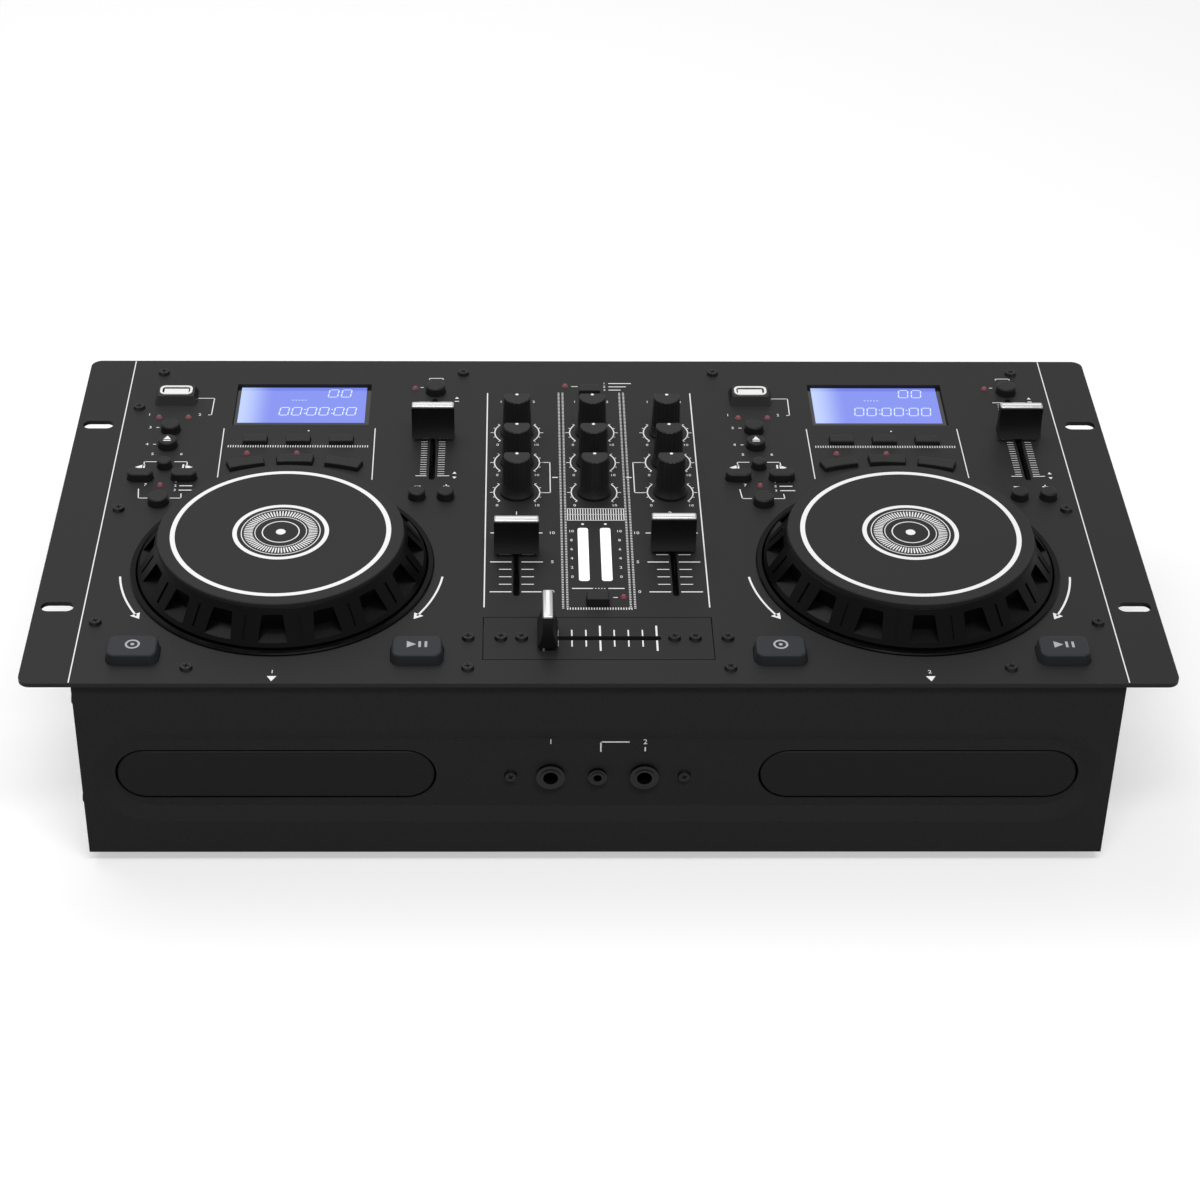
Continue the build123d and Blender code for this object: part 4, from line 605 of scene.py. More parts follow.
# place, size and turn: search keys, ends of the pitch scale, the tray below
DECK_TRIANGLES = (
    ((-71.1, 34.4), 4.4, 90),
    ((-49.0, 34.4), 4.4, -90),
    ((73.9, 94.9), 2.2, 0),
    ((73.9, 29.6), 2.2, 0),
    ((73.9, 26.0), 2.2, 180),
    ((0.8, -125.3), 4.6, 180),
)
DIVIDER_TICKS, DIVIDER_X, DIVIDER_W, DIVIDER_YS = 56, -31.9, 64.9, (51.3, 53.1)
MODE_ROWS, MODE_Y, MODE_PITCH = 3, 22.4, 3.6
PITCH_ENDS_AND_MIDDLE = (91.3, 59.1, 27.3)
PITCH_TICKS, PITCH_TICK_Y, PITCH_TICK_STEP, PITCH_CLEAR = 32, 28.9, 1.95, 1.1
ARROW_R, ARROW_W, ARROW_HEAD = 70.7, 0.9, 5.4
ARROWS = ((187, 25), (353, -25))


def deck_print(sheet, level, x):
    """Everything white on the panel round one deck, from the deck's middle x in mm."""

    def at(dx, y):
        return (x + dx, y)

    for figure, place in KEY_FIGURES:
        numeral(sheet, level, figure, at(*place), FIGURE)
    for points in DECK_LINES:
        lines(sheet, level, [at(*point) for point in points], LINE)
    for start, end, width in DECK_BARS:
        bar(sheet, level, at(*start), at(*end), width)
    for place, size, turn in DECK_TRIANGLES:
        dot(sheet, level, at(*place), size, TRIANGLE, turn)
    # the three modes beside their key
    for row in range(MODE_ROWS):
        y = MODE_Y - MODE_PITCH * row
        numeral(sheet, level, str(row + 1), at(-53.2, y), 1.7)
        bar(sheet, level, at(-51.4, y), at(-46.5 + row, y), HEAVY)
    # the row of ticks between the display's two rows of keys
    for step in range(DIVIDER_TICKS + 1):
        dx = DIVIDER_X + DIVIDER_W / DIVIDER_TICKS * step
        bar(sheet, level, at(dx, DIVIDER_YS[0]), at(dx, DIVIDER_YS[1]), 0.38)
    dot(sheet, level, at(4.7, 65.7), 0.9)
    # pitch fader: long lines at its ends and middle, fine ticks between them
    for y in PITCH_ENDS_AND_MIDDLE:
        bar(sheet, level, at(56.0, y), at(61.0, y), LINE)
        bar(sheet, level, at(66.0, y), at(71.5, y), LINE)
    for step in range(PITCH_TICKS):
        y = PITCH_TICK_Y + PITCH_TICK_STEP * step
        if abs(y - PITCH_ENDS_AND_MIDDLE[1]) < PITCH_CLEAR:
            continue
        bar(sheet, level, at(58.0, y), at(60.9, y), THIN)
        bar(sheet, level, at(66.1, y), at(69.2, y), THIN)
    # turning arrows beside the wheel, and the deck's figure
    for start, sweep in ARROWS:
        arc(sheet, level, at(0, JOG_Y / MM), ARROW_R, ARROW_W, start, sweep, 2)
        end = math.radians(start + sweep)
        tip = at(ARROW_R * math.cos(end), JOG_Y / MM + ARROW_R * math.sin(end))
        turn = start + sweep + (0 if sweep > 0 else 180)
        dot(sheet, level, tip, ARROW_HEAD, TRIANGLE, turn)
    numeral(sheet, level, "1" if x < 0 else "2", at(0.8, -121.2), 2.2)


# %% [markdown]
# ## Printing on the mixer
#
# The mixer is three columns of knobs, two channel faders and the meters. Arcs stand round each
# knob from its low end to its high end with a tick at the middle, and double dotted rails frame
# the centre column.

# %% The mixer's print
KNOB_COLUMNS = ("gain_knob_left", "master_knob", "gain_knob_right")
KNOB_ROWS = ("gain_knob_left", "treble_knob_left", "bass_knob_left")
KNOB_XS = [middle(name).x / MM for name in KNOB_COLUMNS]
KNOB_YS = [middle(name).y / MM for name in KNOB_ROWS]
DIAL_R = 10.4
DIAL_STARTS, DIAL_SWEEP = (-42, 140), 82
DIAL_TICKS = (-42, -20, 0, 20, 40, 140, 160, 180, 200, 222)
RAIL_DASH, RAIL_PITCH = 0.45, 1.25


def dial_marks(sheet, level, x, y):
    """Two arcs, their ticks and the end figures round a knob."""
    for start in DIAL_STARTS:
        arc(sheet, level, (x, y), DIAL_R, 0.55, start, DIAL_SWEEP, 4)
    for angle in DIAL_TICKS:
        turn = math.radians(angle)
        long = 1.9 if angle in (0, 180) else 1.2
        start = (x + DIAL_R * math.cos(turn), y + DIAL_R * math.sin(turn))
        end = (x + (DIAL_R + long) * math.cos(turn), y + (DIAL_R + long) * math.sin(turn))
        bar(sheet, level, start, end, 0.4)
    numeral(sheet, level, "0", (x - 9.0, y - 10.6), 1.8)
    numeral(sheet, level, "10", (x + 9.0, y - 10.6), 1.8)


def dotted_rail(sheet, level, start, end):
    """A fine dotted line."""
    first, second = Vector(start), Vector(end)
    count = int((second - first).length / RAIL_PITCH)
    half = Vector((RAIL_DASH, 0))
    for step in range(count + 1):
        spot = first.lerp(second, step / count)
        bar(sheet, level, spot - half, spot + half, RAIL_DASH)


SIDE_RULE_X = 48.5
RAIL_XS = (-14.5, -12.6, 14.6, 16.5)
LADDER_X, LADDER_PITCH, LADDER_TOP, LADDER_ROW = -11.6, 1.15, 0.4, 4.7
METER_ROWS, METER_TOP, METER_PITCH = 6, -17.7, 7.02
KEY_LINE_Y = -61.5
SOURCE_TOP, SOURCE_PITCH, SOURCE_ENDS = 108.4, 3.0, (20.5, 18.0, 15.5)


def mixer_print(sheet, level):
    """Everything white between the two decks, apart from the faders' scales."""
    for x in (-SIDE_RULE_X, SIDE_RULE_X):
        bar(sheet, level, (x, 99.5), (x, -75.5), LINE + 0.1)
    for x in KNOB_XS:
        for y in KNOB_YS:
            dial_marks(sheet, level, x, y)
        numeral(sheet, level, "1", (x - 7.6, 91.6), 1.8)
        numeral(sheet, level, "2", (x + 8.0, 91.6), 1.8)
    # brackets from the two tone rows to the column's rail
    for sign in (-1, 1):
        x_in, x_out = sign * 23.6, sign * 19.2
        lines(sheet, level, [(x_in, 38.6), (x_out, 38.6), (x_out, 13.4), (x_in, 13.4)], LINE)
        bar(sheet, level, (x_out - sign * 1.0, 26.0), (x_out - sign * 3.6, 26.0), 0.7)
    # rails of the centre column, the ladder under the knobs and the row at its foot
    for x in RAIL_XS:
        dotted_rail(sheet, level, (x, 99.6), (x, -76.0))
    for step in range(23):
        x = LADDER_X + LADDER_PITCH * step
        bar(sheet, level, (x, -9.0), (x, LADDER_TOP), 0.42)
    for step in range(25):
        x = LADDER_X - 1.0 + LADDER_PITCH * step
        bar(sheet, level, (x, -77.2), (x, -75.6), 0.42)
    for step in range(3):
        y = LADDER_TOP - LADDER_ROW * step
        bar(sheet, level, (LADDER_X, y), (13.7, y), THIN)
    # meters: six figures a side
    for row in range(METER_ROWS):
        y = METER_TOP - METER_PITCH * row
        numeral(sheet, level, str(10 - 2 * row), (-10.2, y), 1.8)
        numeral(sheet, level, str(10 - 2 * row), (11.2, y), 1.8)
    dot(sheet, level, (-5.0, -12.0), 1.3)
    dot(sheet, level, (5.2, -12.0), 1.3)
    # relay key and source key
    lines(sheet, level, [(-10.2, KEY_LINE_Y), (-1.6, KEY_LINE_Y)], HEAVY)
    for step in range(4):
        dot(sheet, level, (-0.2 + 1.3 * step, KEY_LINE_Y), HEAVY)
    lines(sheet, level, [(5.6, KEY_LINE_Y), (12.0, KEY_LINE_Y)], HEAVY)
    bar(sheet, level, (7.2, -68.2), (9.2, -68.2), LINE)
    bar(sheet, level, (-8.3, 105.6), (-5.2, 105.6), LINE)
    for row, end in enumerate(SOURCE_ENDS):
        y = SOURCE_TOP - SOURCE_PITCH * row
        numeral(sheet, level, str(row + 1), (7.6, y), 1.7)
        bar(sheet, level, (9.6, y), (end, y), HEAVY)


# %% Scales of the three mixer faders
CHANNEL_XS = [middle("channel_fader_cap_" + side).x / MM for side in DECKS]
CHANNEL_TOP, CHANNEL_PITCH, CHANNEL_ROWS = -19.0, 5.63, 9
SLOT_CLEAR = 2.2
CROSS_X, CROSS_Y = 0.9, -97.7
CROSS_PITCH, CROSS_CLEAR = 6.0, 1.6


def channel_print(sheet, level):
    """Scale lines on both sides of each channel slot."""
    for channel, x in enumerate(CHANNEL_XS):
        numeral(sheet, level, str(channel + 1), (x, -3.4), 2.6)
        for row in range(CHANNEL_ROWS):
            y = CHANNEL_TOP - CHANNEL_PITCH * row
            long = row % 4 == 0
            reach = 11.6 if long else 7.6
            width = HEAVY if long else LINE
            bar(sheet, level, (x - reach, y), (x - SLOT_CLEAR, y), width)
            bar(sheet, level, (x + SLOT_CLEAR, y), (x + reach, y), width)
        side = 1 if x < 0 else -1
        for y, figure in ((-19.0, "10"), (-41.5, "5"), (-64.0, "0")):
            numeral(sheet, level, figure, (x + side * 15.8, y), 2.0)


def crossfader_print(sheet, level):
    """Nine ticks across the crossfader's slot, long at its ends and middle."""
    for step in range(-4, 5):
        long = step % 4 == 0
        x = CROSS_X + CROSS_PITCH * step
        reach = 8.9 if long else 5.9
        width = 0.8 if long else HEAVY
        bar(sheet, level, (x, CROSS_Y - reach), (x, CROSS_Y - CROSS_CLEAR), width)
        bar(sheet, level, (x, CROSS_Y + CROSS_CLEAR), (x, CROSS_Y + reach), width)


# %% Print the panel
ink, level = sheet_at(PANEL_TOP)
for side in DECKS:
    deck_print(ink, level, DECK_X[side] / MM)
mixer_print(ink, level)
channel_print(ink, level)
crossfader_print(ink, level)
EAR_LINE_X, EAR_LINE_Y = 220.0, 128.6
for x in (-EAR_LINE_X, EAR_LINE_X):
    bar(ink, level, (x, EAR_LINE_Y), (x, -EAR_LINE_Y), 0.5)
panel_print = piece("panel_print", ink, "base", white_ink)
print("panel print:", len(panel_print.data.polygons), "faces")

# %% [markdown]
# ## The top of a wheel
#
# The flat plate has one broad ring near its edge and a target of fine ticks in the middle. The
# middle stays plain: a ring and a dot. The print rides on the wheel, so it turns with it.

# %% Wheel print
RING_R = 46.9
TARGET_R = 20.0
TICKS_IN = 12.2
TICKS_OUT = 16.0
TICK_COUNT = 72
# radius, width and step in degrees of each ring on the plate
WHEEL_RINGS = (
    (RING_R, 2.1, 2),
    (TARGET_R, 1.9, 3),
    (TICKS_OUT + 1.1, 0.4, 4),
    (TICKS_IN - 1.0, 0.35, 4),
    (8.0, 0.5, 6),
)


def wheel_print(side):
    """The rings, the dot and the fine ticks on one wheel's plate."""
    sheet, top = sheet_at(JOG_TOP)
    centre = Vector((DECK_X[side], JOG_Y)) / MM
    for radius, width, step in WHEEL_RINGS:
        arc(sheet, top, centre, radius, width, step=step)
    dot(sheet, top, centre, 4.2, 32)
    for step in range(TICK_COUNT):
        turn = 2 * math.pi * step / TICK_COUNT
        out = Vector((math.cos(turn), math.sin(turn)))
        bar(sheet, top, centre + out * TICKS_IN, centre + out * TICKS_OUT, HEAVY)
    return piece("wheel_print_" + side, sheet, "jog_wheel_" + side, white_ink)


for side in DECKS:
    wheel_print(side)

# %% [markdown]
# ## Figures in the displays
#
# The real display is a liquid crystal panel with pale segments. Each figure is up to seven bars,
# and a nought leaves out the middle one. A font would not have the segments' gaps. The bars lie on
# the lens, where the eye sees them through the glass.

# %% Seven-segment figures
SEGMENTS = {
    "top": ((0, 1), (1, 1)),
    "middle": ((0, 0.5), (1, 0.5)),
    "bottom": ((0, 0), (1, 0)),
    "upper_left": ((0, 0.5), (0, 1)),
    "upper_right": ((1, 0.5), (1, 1)),
    "lower_left": ((0, 0), (0, 0.5)),
    "lower_right": ((1, 0), (1, 0.5)),
}
UNLIT = {"0": ("middle",)}


SLANT = 0.10
SEGMENT_GAP, SEGMENT_W = 0.35, 0.5


def segment_figure(sheet, level, figure, corner, width, height):
    """One figure of up to seven bars, leaning a little, from its lower left corner."""
    for name, ends in SEGMENTS.items():
        if name in UNLIT[figure]:
            continue
        start, end = [
            Vector((corner[0] + u * width + v * SLANT * height, corner[1] + v * height))
            for u, v in ends
        ]
        gap = (end - start).normalized() * SEGMENT_GAP
        bar(sheet, level, start + gap, end - gap, SEGMENT_W)


def display_figures(side):
    """The track's two figures, the time's six with their colons, and a row of dashes."""
    sheet, level = sheet_at(LENS_TOP)
    x = DECK_X[side] / MM
    for step, figure in enumerate("00"):
        segment_figure(sheet, level, figure, (x + 12.0 + 6.2 * step, 98.6), 4.4, 6.6)
    for step, figure in enumerate("000000"):
        shift = 5.9 * step + 1.2 * (step // 2)
        segment_figure(sheet, level, figure, (x - 10.6 + shift, 82.4), 4.2, 6.8)
    for step in range(2):
        for rise in (84.0, 87.4):
            dot(sheet, level, (x + 1.6 + 13.0 * step, rise), 0.8, 8)
    for step in range(5):
        bar(sheet, level, (x - 5.0 + 1.5 * step, 95.8), (x - 4.2 + 1.5 * step, 95.8), 0.4)
    return piece("display_figures_" + side, sheet, "base", segment_light)


for side in DECKS:
    display_figures(side)

# %% [markdown]
# ## Marks on keys and pads
#
# The eject key has a triangle, the start pad a triangle and two bars, the cue pad a ring with a
# dot. They are separate sheets because each rides on its own key and goes down with it.

# %% Key and pad marks


def key_mark(name, body, material, draw):
    """One mark drawn on the top of a body's CAD node, about its centre."""
    low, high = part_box(body)
    sheet, level = sheet_at(high.z)
    centre = ((low.x + high.x) / 2 / MM, (low.y + high.y) / 2 / MM)
    draw(sheet, level, centre)
    return piece(name, sheet, body, material)


def draw_eject(sheet, level, c):
    """A triangle over a bar."""
    dot(sheet, level, (c[0], c[1] + 0.5), 4.0, TRIANGLE, 0)
    bar(sheet, level, (c[0] - 1.7, c[1] - 1.6), (c[0] + 1.7, c[1] - 1.6), 0.7)


def draw_start(sheet, level, c):
    """A triangle and two bars."""
    dot(sheet, level, (c[0] - 2.9, c[1] + 0.6), 5.2, TRIANGLE, -90)
    for dx in (1.2, 3.8):
        bar(sheet, level, (c[0] + dx, c[1] - 1.4), (c[0] + dx, c[1] + 2.6), 1.1)


def draw_cue(sheet, level, c):
    """A ring with a dot."""
    arc(sheet, level, (c[0], c[1] + 0.6), 2.7, 0.9, step=12)
    dot(sheet, level, (c[0], c[1] + 0.6), 1.7, 12)


for side in DECKS:
    key_mark("eject_mark_" + side, "eject_button_" + side, white_ink, draw_eject)
    key_mark("start_mark_" + side, "play_button_" + side, grey_ink, draw_start)
    key_mark("cue_mark_" + side, "cue_button_" + side, grey_ink, draw_cue)

# %% [markdown]
# ## Knob pointers
#
# Each knob has a white spot behind the middle of its top face, which shows how far it is turned.
# It could be a bar down the side, but the real one is a printed dot. It turns with the knob.

# %% Pointers
KNOBS = [name for name in nodes if "knob" in name]
POINTER_Y, POINTER_D = 1.7, 1.5

for name in KNOBS:
    x, y, _ = next(j["pos_m"] for j in frame["joints"] if j["child"] == name)
    sheet, level = sheet_at(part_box(name)[1].z)
    dot(sheet, level, (x / MM, y / MM + POINTER_Y), POINTER_D)
    piece(name + "_pointer", sheet, name, white_ink)
print("pointers:", len(KNOBS))

# %% [markdown]
# ## Fader trims
#
# The ridge of every fader cap carries a bright moulded strip with a white line along it. A strip
# with softened edges catches the light as the real one does, so it is a bevelled block rather than
# a flat decal.

# %% Bright strips on the fader caps
STRIP_H = 1.0 * MM
STRIP_SINK = 0.6 * MM
STRIP_ROUND = 0.75 * MM
STRIP_IN = 0.1 * MM
RIDGE_W = 4.3 * MM
LINE_W, LINE_IN = 1.5, 0.8
CAPS = [name for name in nodes if "fader_cap" in name]


def block(sheet, low, high, rounding, segments=2):
    """A box between two corners with its edges bevelled."""
    centre = (low + high) / 2
    size = Matrix.Diagonal((*(high - low), 1))
    made = bmesh.ops.create_cube(sheet, size=1.0, matrix=Matrix.Translation(centre) @ size)
    edges = list({e for v in made["verts"] for e in v.link_edges})
    bmesh.ops.bevel(
        sheet,
        geom=edges,
        offset=rounding,
        segments=segments,
        profile=0.5,
        affect="EDGES",
        material=-1,
    )


def ridge_reach(low, high):
    """Half the length and half the width of a cap's ridge, as a vector over the cap's box."""
    half = (high - low) / 2
    if half.x > half.y:
        return Vector((half.x - STRIP_IN, RIDGE_W / 2, 0))
    return Vector((RIDGE_W / 2, half.y - STRIP_IN, 0))


def fader_strip(name):
    """The bright strip on a cap's ridge, and the white line along it."""
    low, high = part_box(name)
    reach = ridge_reach(low, high)
    top = Vector(((low.x + high.x) / 2, (low.y + high.y) / 2, high.z))
    sheet = bmesh.new()
    foot, crown = Vector((0, 0, STRIP_SINK)), Vector((0, 0, STRIP_H))
    block(sheet, top - reach - foot, top + reach + crown, STRIP_ROUND, 5)
    piece(name + "_strip", sheet, name, silver_trim, smooth=True)
    sheet, level = sheet_at(high.z + STRIP_H)
    if reach.x > reach.y:
        half_line = Vector((reach.x / MM - LINE_IN, 0))
    else:
        half_line = Vector((0, reach.y / MM - LINE_IN))
    centre = top.xy / MM
    bar(sheet, level, centre - half_line, centre + half_line, LINE_W)
    piece(name + "_line", sheet, name, white_ink)


for name in CAPS:
    fader_strip(name)
print("strips:", len(CAPS))

# %% [markdown]
# ## USB sockets
#
# A white plastic collar with round ends stands in the black surround, round the metal mouth, and
# the white insulator nearly fills that mouth. The collar is one rectangle of a grid whose four
# corners are rounded by a vertex bevel. An inset cuts the mouth out of it and an extrusion gives it
# its thickness.

# %% White collars and insulators of the USB sockets
COLLAR_W, COLLAR_D, COLLAR_T = 15.4, 7.6, 0.4
COLLAR_ROUND = 2.6
COLLAR_RIM = 1.1
INSULATOR = Vector((5.9, 2.3, 0)) * MM
INSULATOR_TOP, INSULATOR_FOOT, INSULATOR_ROUND = 0.3 * MM, 1.6 * MM, 0.3 * MM
USB_DX = -59.9
USB_Y = 95.2
USB_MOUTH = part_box("usb_sockets")[1].z


def usb_place(side, drop=0.0):
    """The middle of a USB mouth, or a place that far (metres) under it."""
    return Vector((DECK_X[side] + USB_DX * MM, USB_Y * MM, USB_MOUTH - drop))


def usb_collar(side):
    """The white rim round the mouth."""
    sheet = bmesh.new()
    place = Matrix.Translation(usb_place(side))
    size = Matrix.Diagonal((COLLAR_W * MM, COLLAR_D * MM, 1, 1))
    bmesh.ops.create_grid(sheet, x_segments=1, y_segments=1, size=0.5, matrix=place @ size)
    bmesh.ops.bevel(
        sheet,
        geom=sheet.verts[:],
        offset=COLLAR_ROUND * MM,
        segments=6,
        profile=0.5,
        affect="VERTICES",
        material=-1,
    )
    plate = sheet.faces[:]
    bmesh.ops.inset_region(
        sheet, faces=plate, thickness=COLLAR_RIM * MM, use_boundary=True, use_even_offset=True
    )
    bmesh.ops.delete(sheet, geom=plate, context="FACES")
    raised = bmesh.ops.extrude_face_region(sheet, geom=sheet.faces[:])
    moved = [v for v in raised["geom"] if isinstance(v, bmesh.types.BMVert)]
    bmesh.ops.translate(sheet, vec=(0, 0, COLLAR_T * MM), verts=moved)
    return piece("usb_collar_" + side, sheet, "base", white_plastic)


def usb_insulator(side):
    """The white block that shows in the mouth, just over the CAD tongue."""
    sheet = bmesh.new()
    low = usb_place(side, INSULATOR_FOOT) - INSULATOR
    high = usb_place(side, INSULATOR_TOP) + INSULATOR
    block(sheet, low, high, INSULATOR_ROUND)
    return piece("usb_insulator_" + side, sheet, "base", white_plastic)


for side in DECKS:
    usb_collar(side)
    usb_insulator(side)
print("USB sockets: 2")

# %% [markdown]
# ## Screw recesses in painted shade
#
# The CAD screws are plain pan heads. A cross recess is two crossed bars of very dark colour just
# over each head: painted shade for the shadow inside the hollow. Cutting real recesses would change
# CAD meshes, and from arm's length the dark cross is what the eye reads. The crosses stand at all
# angles, as screws do after driving.

# %% Cross recesses drawn as painted shade
HEAD_T = 1.5 * MM
CROSS_W, CROSS_REACH = 0.7, 1.5
CROSS_TURN = 17
EDGE_ROWS = (
    # distance from the middle, then the places along the row
    (117.3, (205.2, 60.4)),
    (-118.8, (172.2, 54.9)),
    (-97.7, (32.4, 41.2, 55.0)),
)
SCREW_PLACES = [(side * 213.8, y) for side in (-1, 1) for y in (85.7, -0.5, -86.9)]
for row_y, row_xs in EDGE_ROWS:
    SCREW_PLACES += [(side * x, row_y) for side in (-1, 1) for x in row_xs]


def cross(sheet, level, centre, reach):
    """Two bars across each other, the first one along the vector given."""
    for half in (reach, reach.orthogonal()):
        bar(sheet, level, centre - half, centre + half, CROSS_W)


def stand_up(sheet, y):
    """Turns a sheet drawn flat so that it stands on a wall that faces the front."""
    upright = Matrix.Rotation(math.radians(90), 3, "X")
    bmesh.ops.rotate(sheet, cent=(0, 0, 0), matrix=upright, verts=sheet.verts[:])
    bmesh.ops.translate(sheet, vec=(0, y, 0), verts=sheet.verts[:])


# painted shade: dark crosses on the panel screws stand for the shadow in their recesses
recess_shade_crosses, level = sheet_at(PANEL_TOP + HEAD_T)
for index, place in enumerate(SCREW_PLACES):
    turn = math.radians(CROSS_TURN * index % 90)
    reach = Vector((math.cos(turn), math.sin(turn))) * CROSS_REACH
    cross(recess_shade_crosses, level, Vector(place), reach)
piece("screw_recess_painted_shade", recess_shade_crosses, "base", painted_recess_shade)

JACK_Z = 46.5
FRONT_SCREW_X = 37.0
FRONT_CROSS = Vector((1.3, 0.75))
TROUGH_FLOOR = FRONT_FACE + 3.0 * MM
# painted shade: the same dark crosses on the two front screws
recess_shade_crosses, level = sheet_at(0.0)
for x in (-FRONT_SCREW_X, FRONT_SCREW_X):
    cross(recess_shade_crosses, level, Vector((x, JACK_Z)), FRONT_CROSS)
stand_up(recess_shade_crosses, TROUGH_FLOOR - HEAD_T)
piece("front_recess_painted_shade", recess_shade_crosses, "base", painted_recess_shade)

# %% [markdown]
# ## Front and rear trims
#
# The two large phone sockets have a dark plated washer inside the nut. At the back, the phono
# pairs have a red and a white ring, the usual code for right and left. A ring is two circles that
# are bridged and then raised a little, which leaves its middle open for the plug.

# %% Rings on the sockets
FRONT, BACK = -1, 1
# radius, width and thickness in mm
WASHER = (3.75, 0.9, 0.1)
PHONO_RING = (5.0, 1.6, 0.35)


def rings_on_wall(name, centres, form, y, facing, material):
    """Flat rings on a wall that faces front or back, at (x, z) places in mm."""
    radius, width, thickness = form
    sheet = bmesh.new()
    for x, z in centres:
        loop = bmesh.new()
        for r in (radius - width / 2, radius + width / 2):
            bmesh.ops.create_circle(loop, segments=40, radius=r * MM)
        made = bmesh.ops.bridge_loops(loop, edges=loop.edges[:])
        raised = bmesh.ops.extrude_face_region(loop, geom=made["faces"])
        moved = [v for v in raised["geom"] if isinstance(v, bmesh.types.BMVert)]
        bmesh.ops.translate(loop, vec=(0, 0, thickness * MM), verts=moved)
        place = Matrix.Translation((x * MM, y, z * MM))
        place = place @ Matrix.Rotation(math.radians(-90 * facing), 4, "X")
        bmesh.ops.transform(loop, matrix=place, verts=loop.verts[:])
        mesh = bpy.data.meshes.new("ring")
        loop.to_mesh(mesh)
        loop.free()
        sheet.from_mesh(mesh)
        bpy.data.meshes.remove(mesh)
    return piece(name, sheet, "base", material)


JACK_X = 20.0
NUT_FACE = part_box("front_sockets")[0].y
jacks = [(-JACK_X, JACK_Z), (JACK_X, JACK_Z)]
rings_on_wall("jack_washers", jacks, WASHER, NUT_FACE, FRONT, black_zinc)
PHONO_XS = [-150 + 26 * pair for pair in range(4)]
PHONO_FACE = BACK_WALL + 2.4 * MM
for name, z, ring_plastic in (
    ("phono_rings_red", 54.5, red_plastic),
    ("phono_rings_white", 69.5, white_plastic),
):
    row = [(x, z) for x in PHONO_XS]
    rings_on_wall(name, row, PHONO_RING, PHONO_FACE, BACK, ring_plastic)

# %% [markdown]
# ## Printing on the front
#
# The front carries only a few lines: a bracket that joins the small socket and one large socket,
# and a figure over each large one. They are drawn flat and then stood up on the trough's floor.

# %% Front print
BRACKET_TOP, BRACKET_FOOT = 64.6, 59.6


def wall_print():
    """The bracket and the two figures over the front sockets."""
    sheet, level = sheet_at(0.0)
    corner = (1.2, BRACKET_TOP)
    lines(sheet, level, [(1.2, BRACKET_FOOT), corner, (13.0, BRACKET_TOP)], HEAVY)
    numeral(sheet, level, "1", (-JACK_X, BRACKET_TOP), 2.6)
    numeral(sheet, level, "2", (JACK_X, BRACKET_TOP), 2.6)
    bar(sheet, level, (JACK_X, 61.8), (JACK_X, BRACKET_FOOT), HEAVY)
    stand_up(sheet, TROUGH_FLOOR)
    return piece("front_print", sheet, "base", white_ink)


wall_print()

# %% [markdown]
# ## Stage, light and camera
#
# A product shot on white. The lamps light the machine at a plain level, and the floor would then
# look pale grey. It looks white because camera, glossy and transmission rays find a little glow on
# it, and they find a white sky, while the light that falls on the machine doesn't change. The
# shadow stays, because the glow is weak. A large softbox above, behind and to the left draws the
# soft highlights on the wheels, knobs and fader caps. A narrow one high in front lights the front
# panel from above, so that its trough shows. The camera was solved from the panel's corners.

# %% Which rays see the white background


def seen_ray(tree):
    """1 for a camera, glossy or transmission ray, else 0."""
    rays = tree.nodes.new("ShaderNodeLightPath")
    total = None
    for kind in ("Is Camera Ray", "Is Glossy Ray", "Is Transmission Ray"):
        if total is None:
            total = rays.outputs[kind]
            continue
        adder = tree.nodes.new("ShaderNodeMath")
        adder.operation = "MAXIMUM"
        tree.links.new(total, adder.inputs[0])
        tree.links.new(rays.outputs[kind], adder.inputs[1])
        total = adder.outputs["Value"]
    return total


# %% Floor
FLOOR_COLOUR = (0.56, 0.56, 0.56)
FLOOR_GLOW = 0.50
FLOOR_HALF = 12.0
FLOOR_ROUGHNESS = 0.9
FLOOR_SHINE = 0.1


def stage_floor():
    """A wide floor that takes the shadow and glows a little where it is looked at."""
    sheet = bmesh.new()
    bmesh.ops.create_grid(sheet, x_segments=1, y_segments=1, size=FLOOR_HALF)
    mesh = bpy.data.meshes.new("floor")
    sheet.to_mesh(mesh)
    sheet.free()
    floor = bpy.data.objects.new("floor", mesh)
    bpy.context.scene.collection.objects.link(floor)
    material = bpy.data.materials.new("floor")
    material.use_nodes = True
    tree = material.node_tree
    shader = tree.nodes["Principled BSDF"]
    shader.inputs["Base Color"].default_value = (*FLOOR_COLOUR, 1)
    shader.inputs["Roughness"].default_value = FLOOR_ROUGHNESS
    shader.inputs["Specular IOR Level"].default_value = FLOOR_SHINE
    shader.inputs["Emission Color"].default_value = (1, 1, 1, 1)
    glow_level = tree.nodes.new("ShaderNodeMath")
    glow_level.operation = "MULTIPLY"
    tree.links.new(seen_ray(tree), glow_level.inputs[0])
    glow_level.inputs[1].default_value = FLOOR_GLOW
    tree.links.new(glow_level.outputs["Value"], shader.inputs["Emission Strength"])
    mesh.materials.append(material)
    return floor


stage_floor()

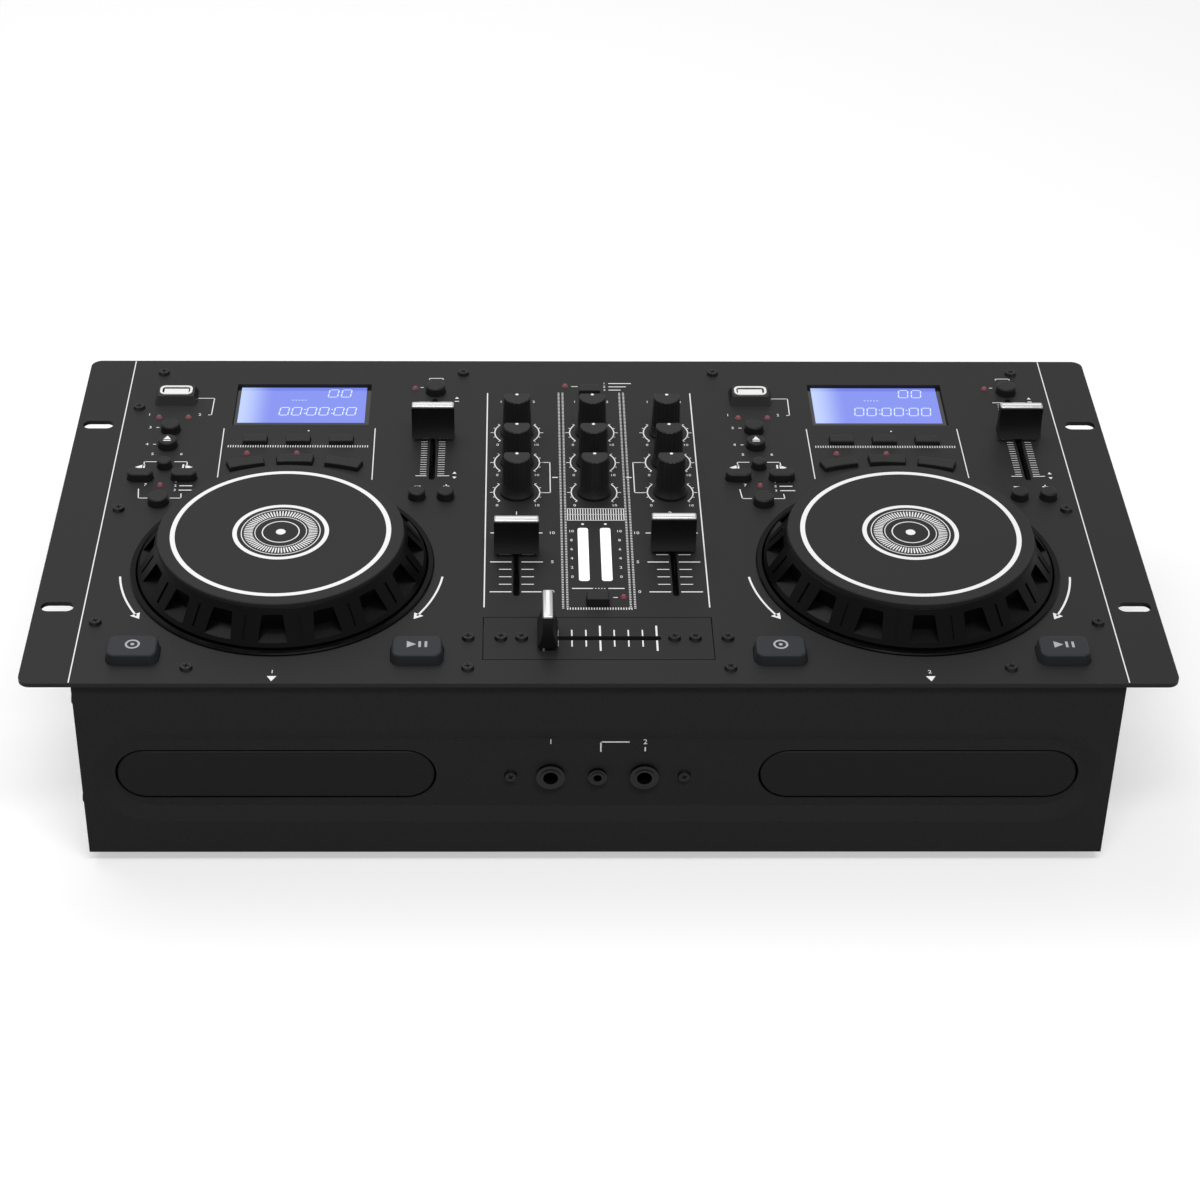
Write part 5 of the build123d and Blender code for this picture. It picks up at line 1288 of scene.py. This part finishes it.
# %% Sky and softboxes
# the light that the sky gives, and how bright it looks
SKY_LIGHT = 0.26
SKY_SEEN = 1.0
scene = bpy.context.scene
scene.view_settings.view_transform = "Standard"
world = bpy.data.worlds.new("studio")
world.use_nodes = True
sky_tree = world.node_tree
sky = sky_tree.nodes["Background"]
sky.inputs["Color"].default_value = (1.0, 1.0, 1.0, 1)
sky_level = sky_tree.nodes.new("ShaderNodeMapRange")
sky_level.inputs["To Min"].default_value = SKY_LIGHT
sky_level.inputs["To Max"].default_value = SKY_SEEN
sky_tree.links.new(seen_ray(sky_tree), sky_level.inputs["Value"])
sky_tree.links.new(sky_level.outputs["Result"], sky.inputs["Strength"])
scene.world = world


def softbox(name, place, target, size, power):
    """A rectangular area lamp at a place (metres), turned to a target."""
    light = bpy.data.lights.new(name, "AREA")
    light.shape = "RECTANGLE"
    light.size, light.size_y = size
    light.energy = power
    lamp = bpy.data.objects.new(name, light)
    scene.collection.objects.link(lamp)
    lamp.location = place
    aim = Vector(target) - Vector(place)
    lamp.rotation_euler = aim.to_track_quat("-Z", "Y").to_euler()
    return lamp


softbox("overhead", (-0.45, 0.50, 1.40), (-0.05, 0.0, 0.1), (1.2, 0.7), 10.5)
softbox("front_fill", (0.15, -0.88, 1.75), (0.0, -0.1, 0.05), (1.2, 0.3), 20.0)

# %% Camera
LENS = 84.48
SENSOR = 36.0
SHIFT_X = 0.0463
CAMERA_PLACE = Vector((-0.0343, -1.0544, 0.8100))
PITCH, YAW, ROLL = 35.82, -0.686, 0.43

camera_data = bpy.data.cameras.new("camera")
camera_data.lens = LENS
camera_data.sensor_width = SENSOR
camera_data.sensor_fit = "HORIZONTAL"
camera_data.shift_x = SHIFT_X
camera = bpy.data.objects.new("camera", camera_data)
scene.collection.objects.link(camera)
heading = Matrix.Rotation(math.radians(YAW), 4, "Z")
tilt = Matrix.Rotation(math.radians(90 - PITCH), 4, "X")
roll = Matrix.Rotation(math.radians(ROLL), 4, "Z")
camera.matrix_world = Matrix.Translation(CAMERA_PLACE) @ heading @ tilt @ roll
scene.camera = camera
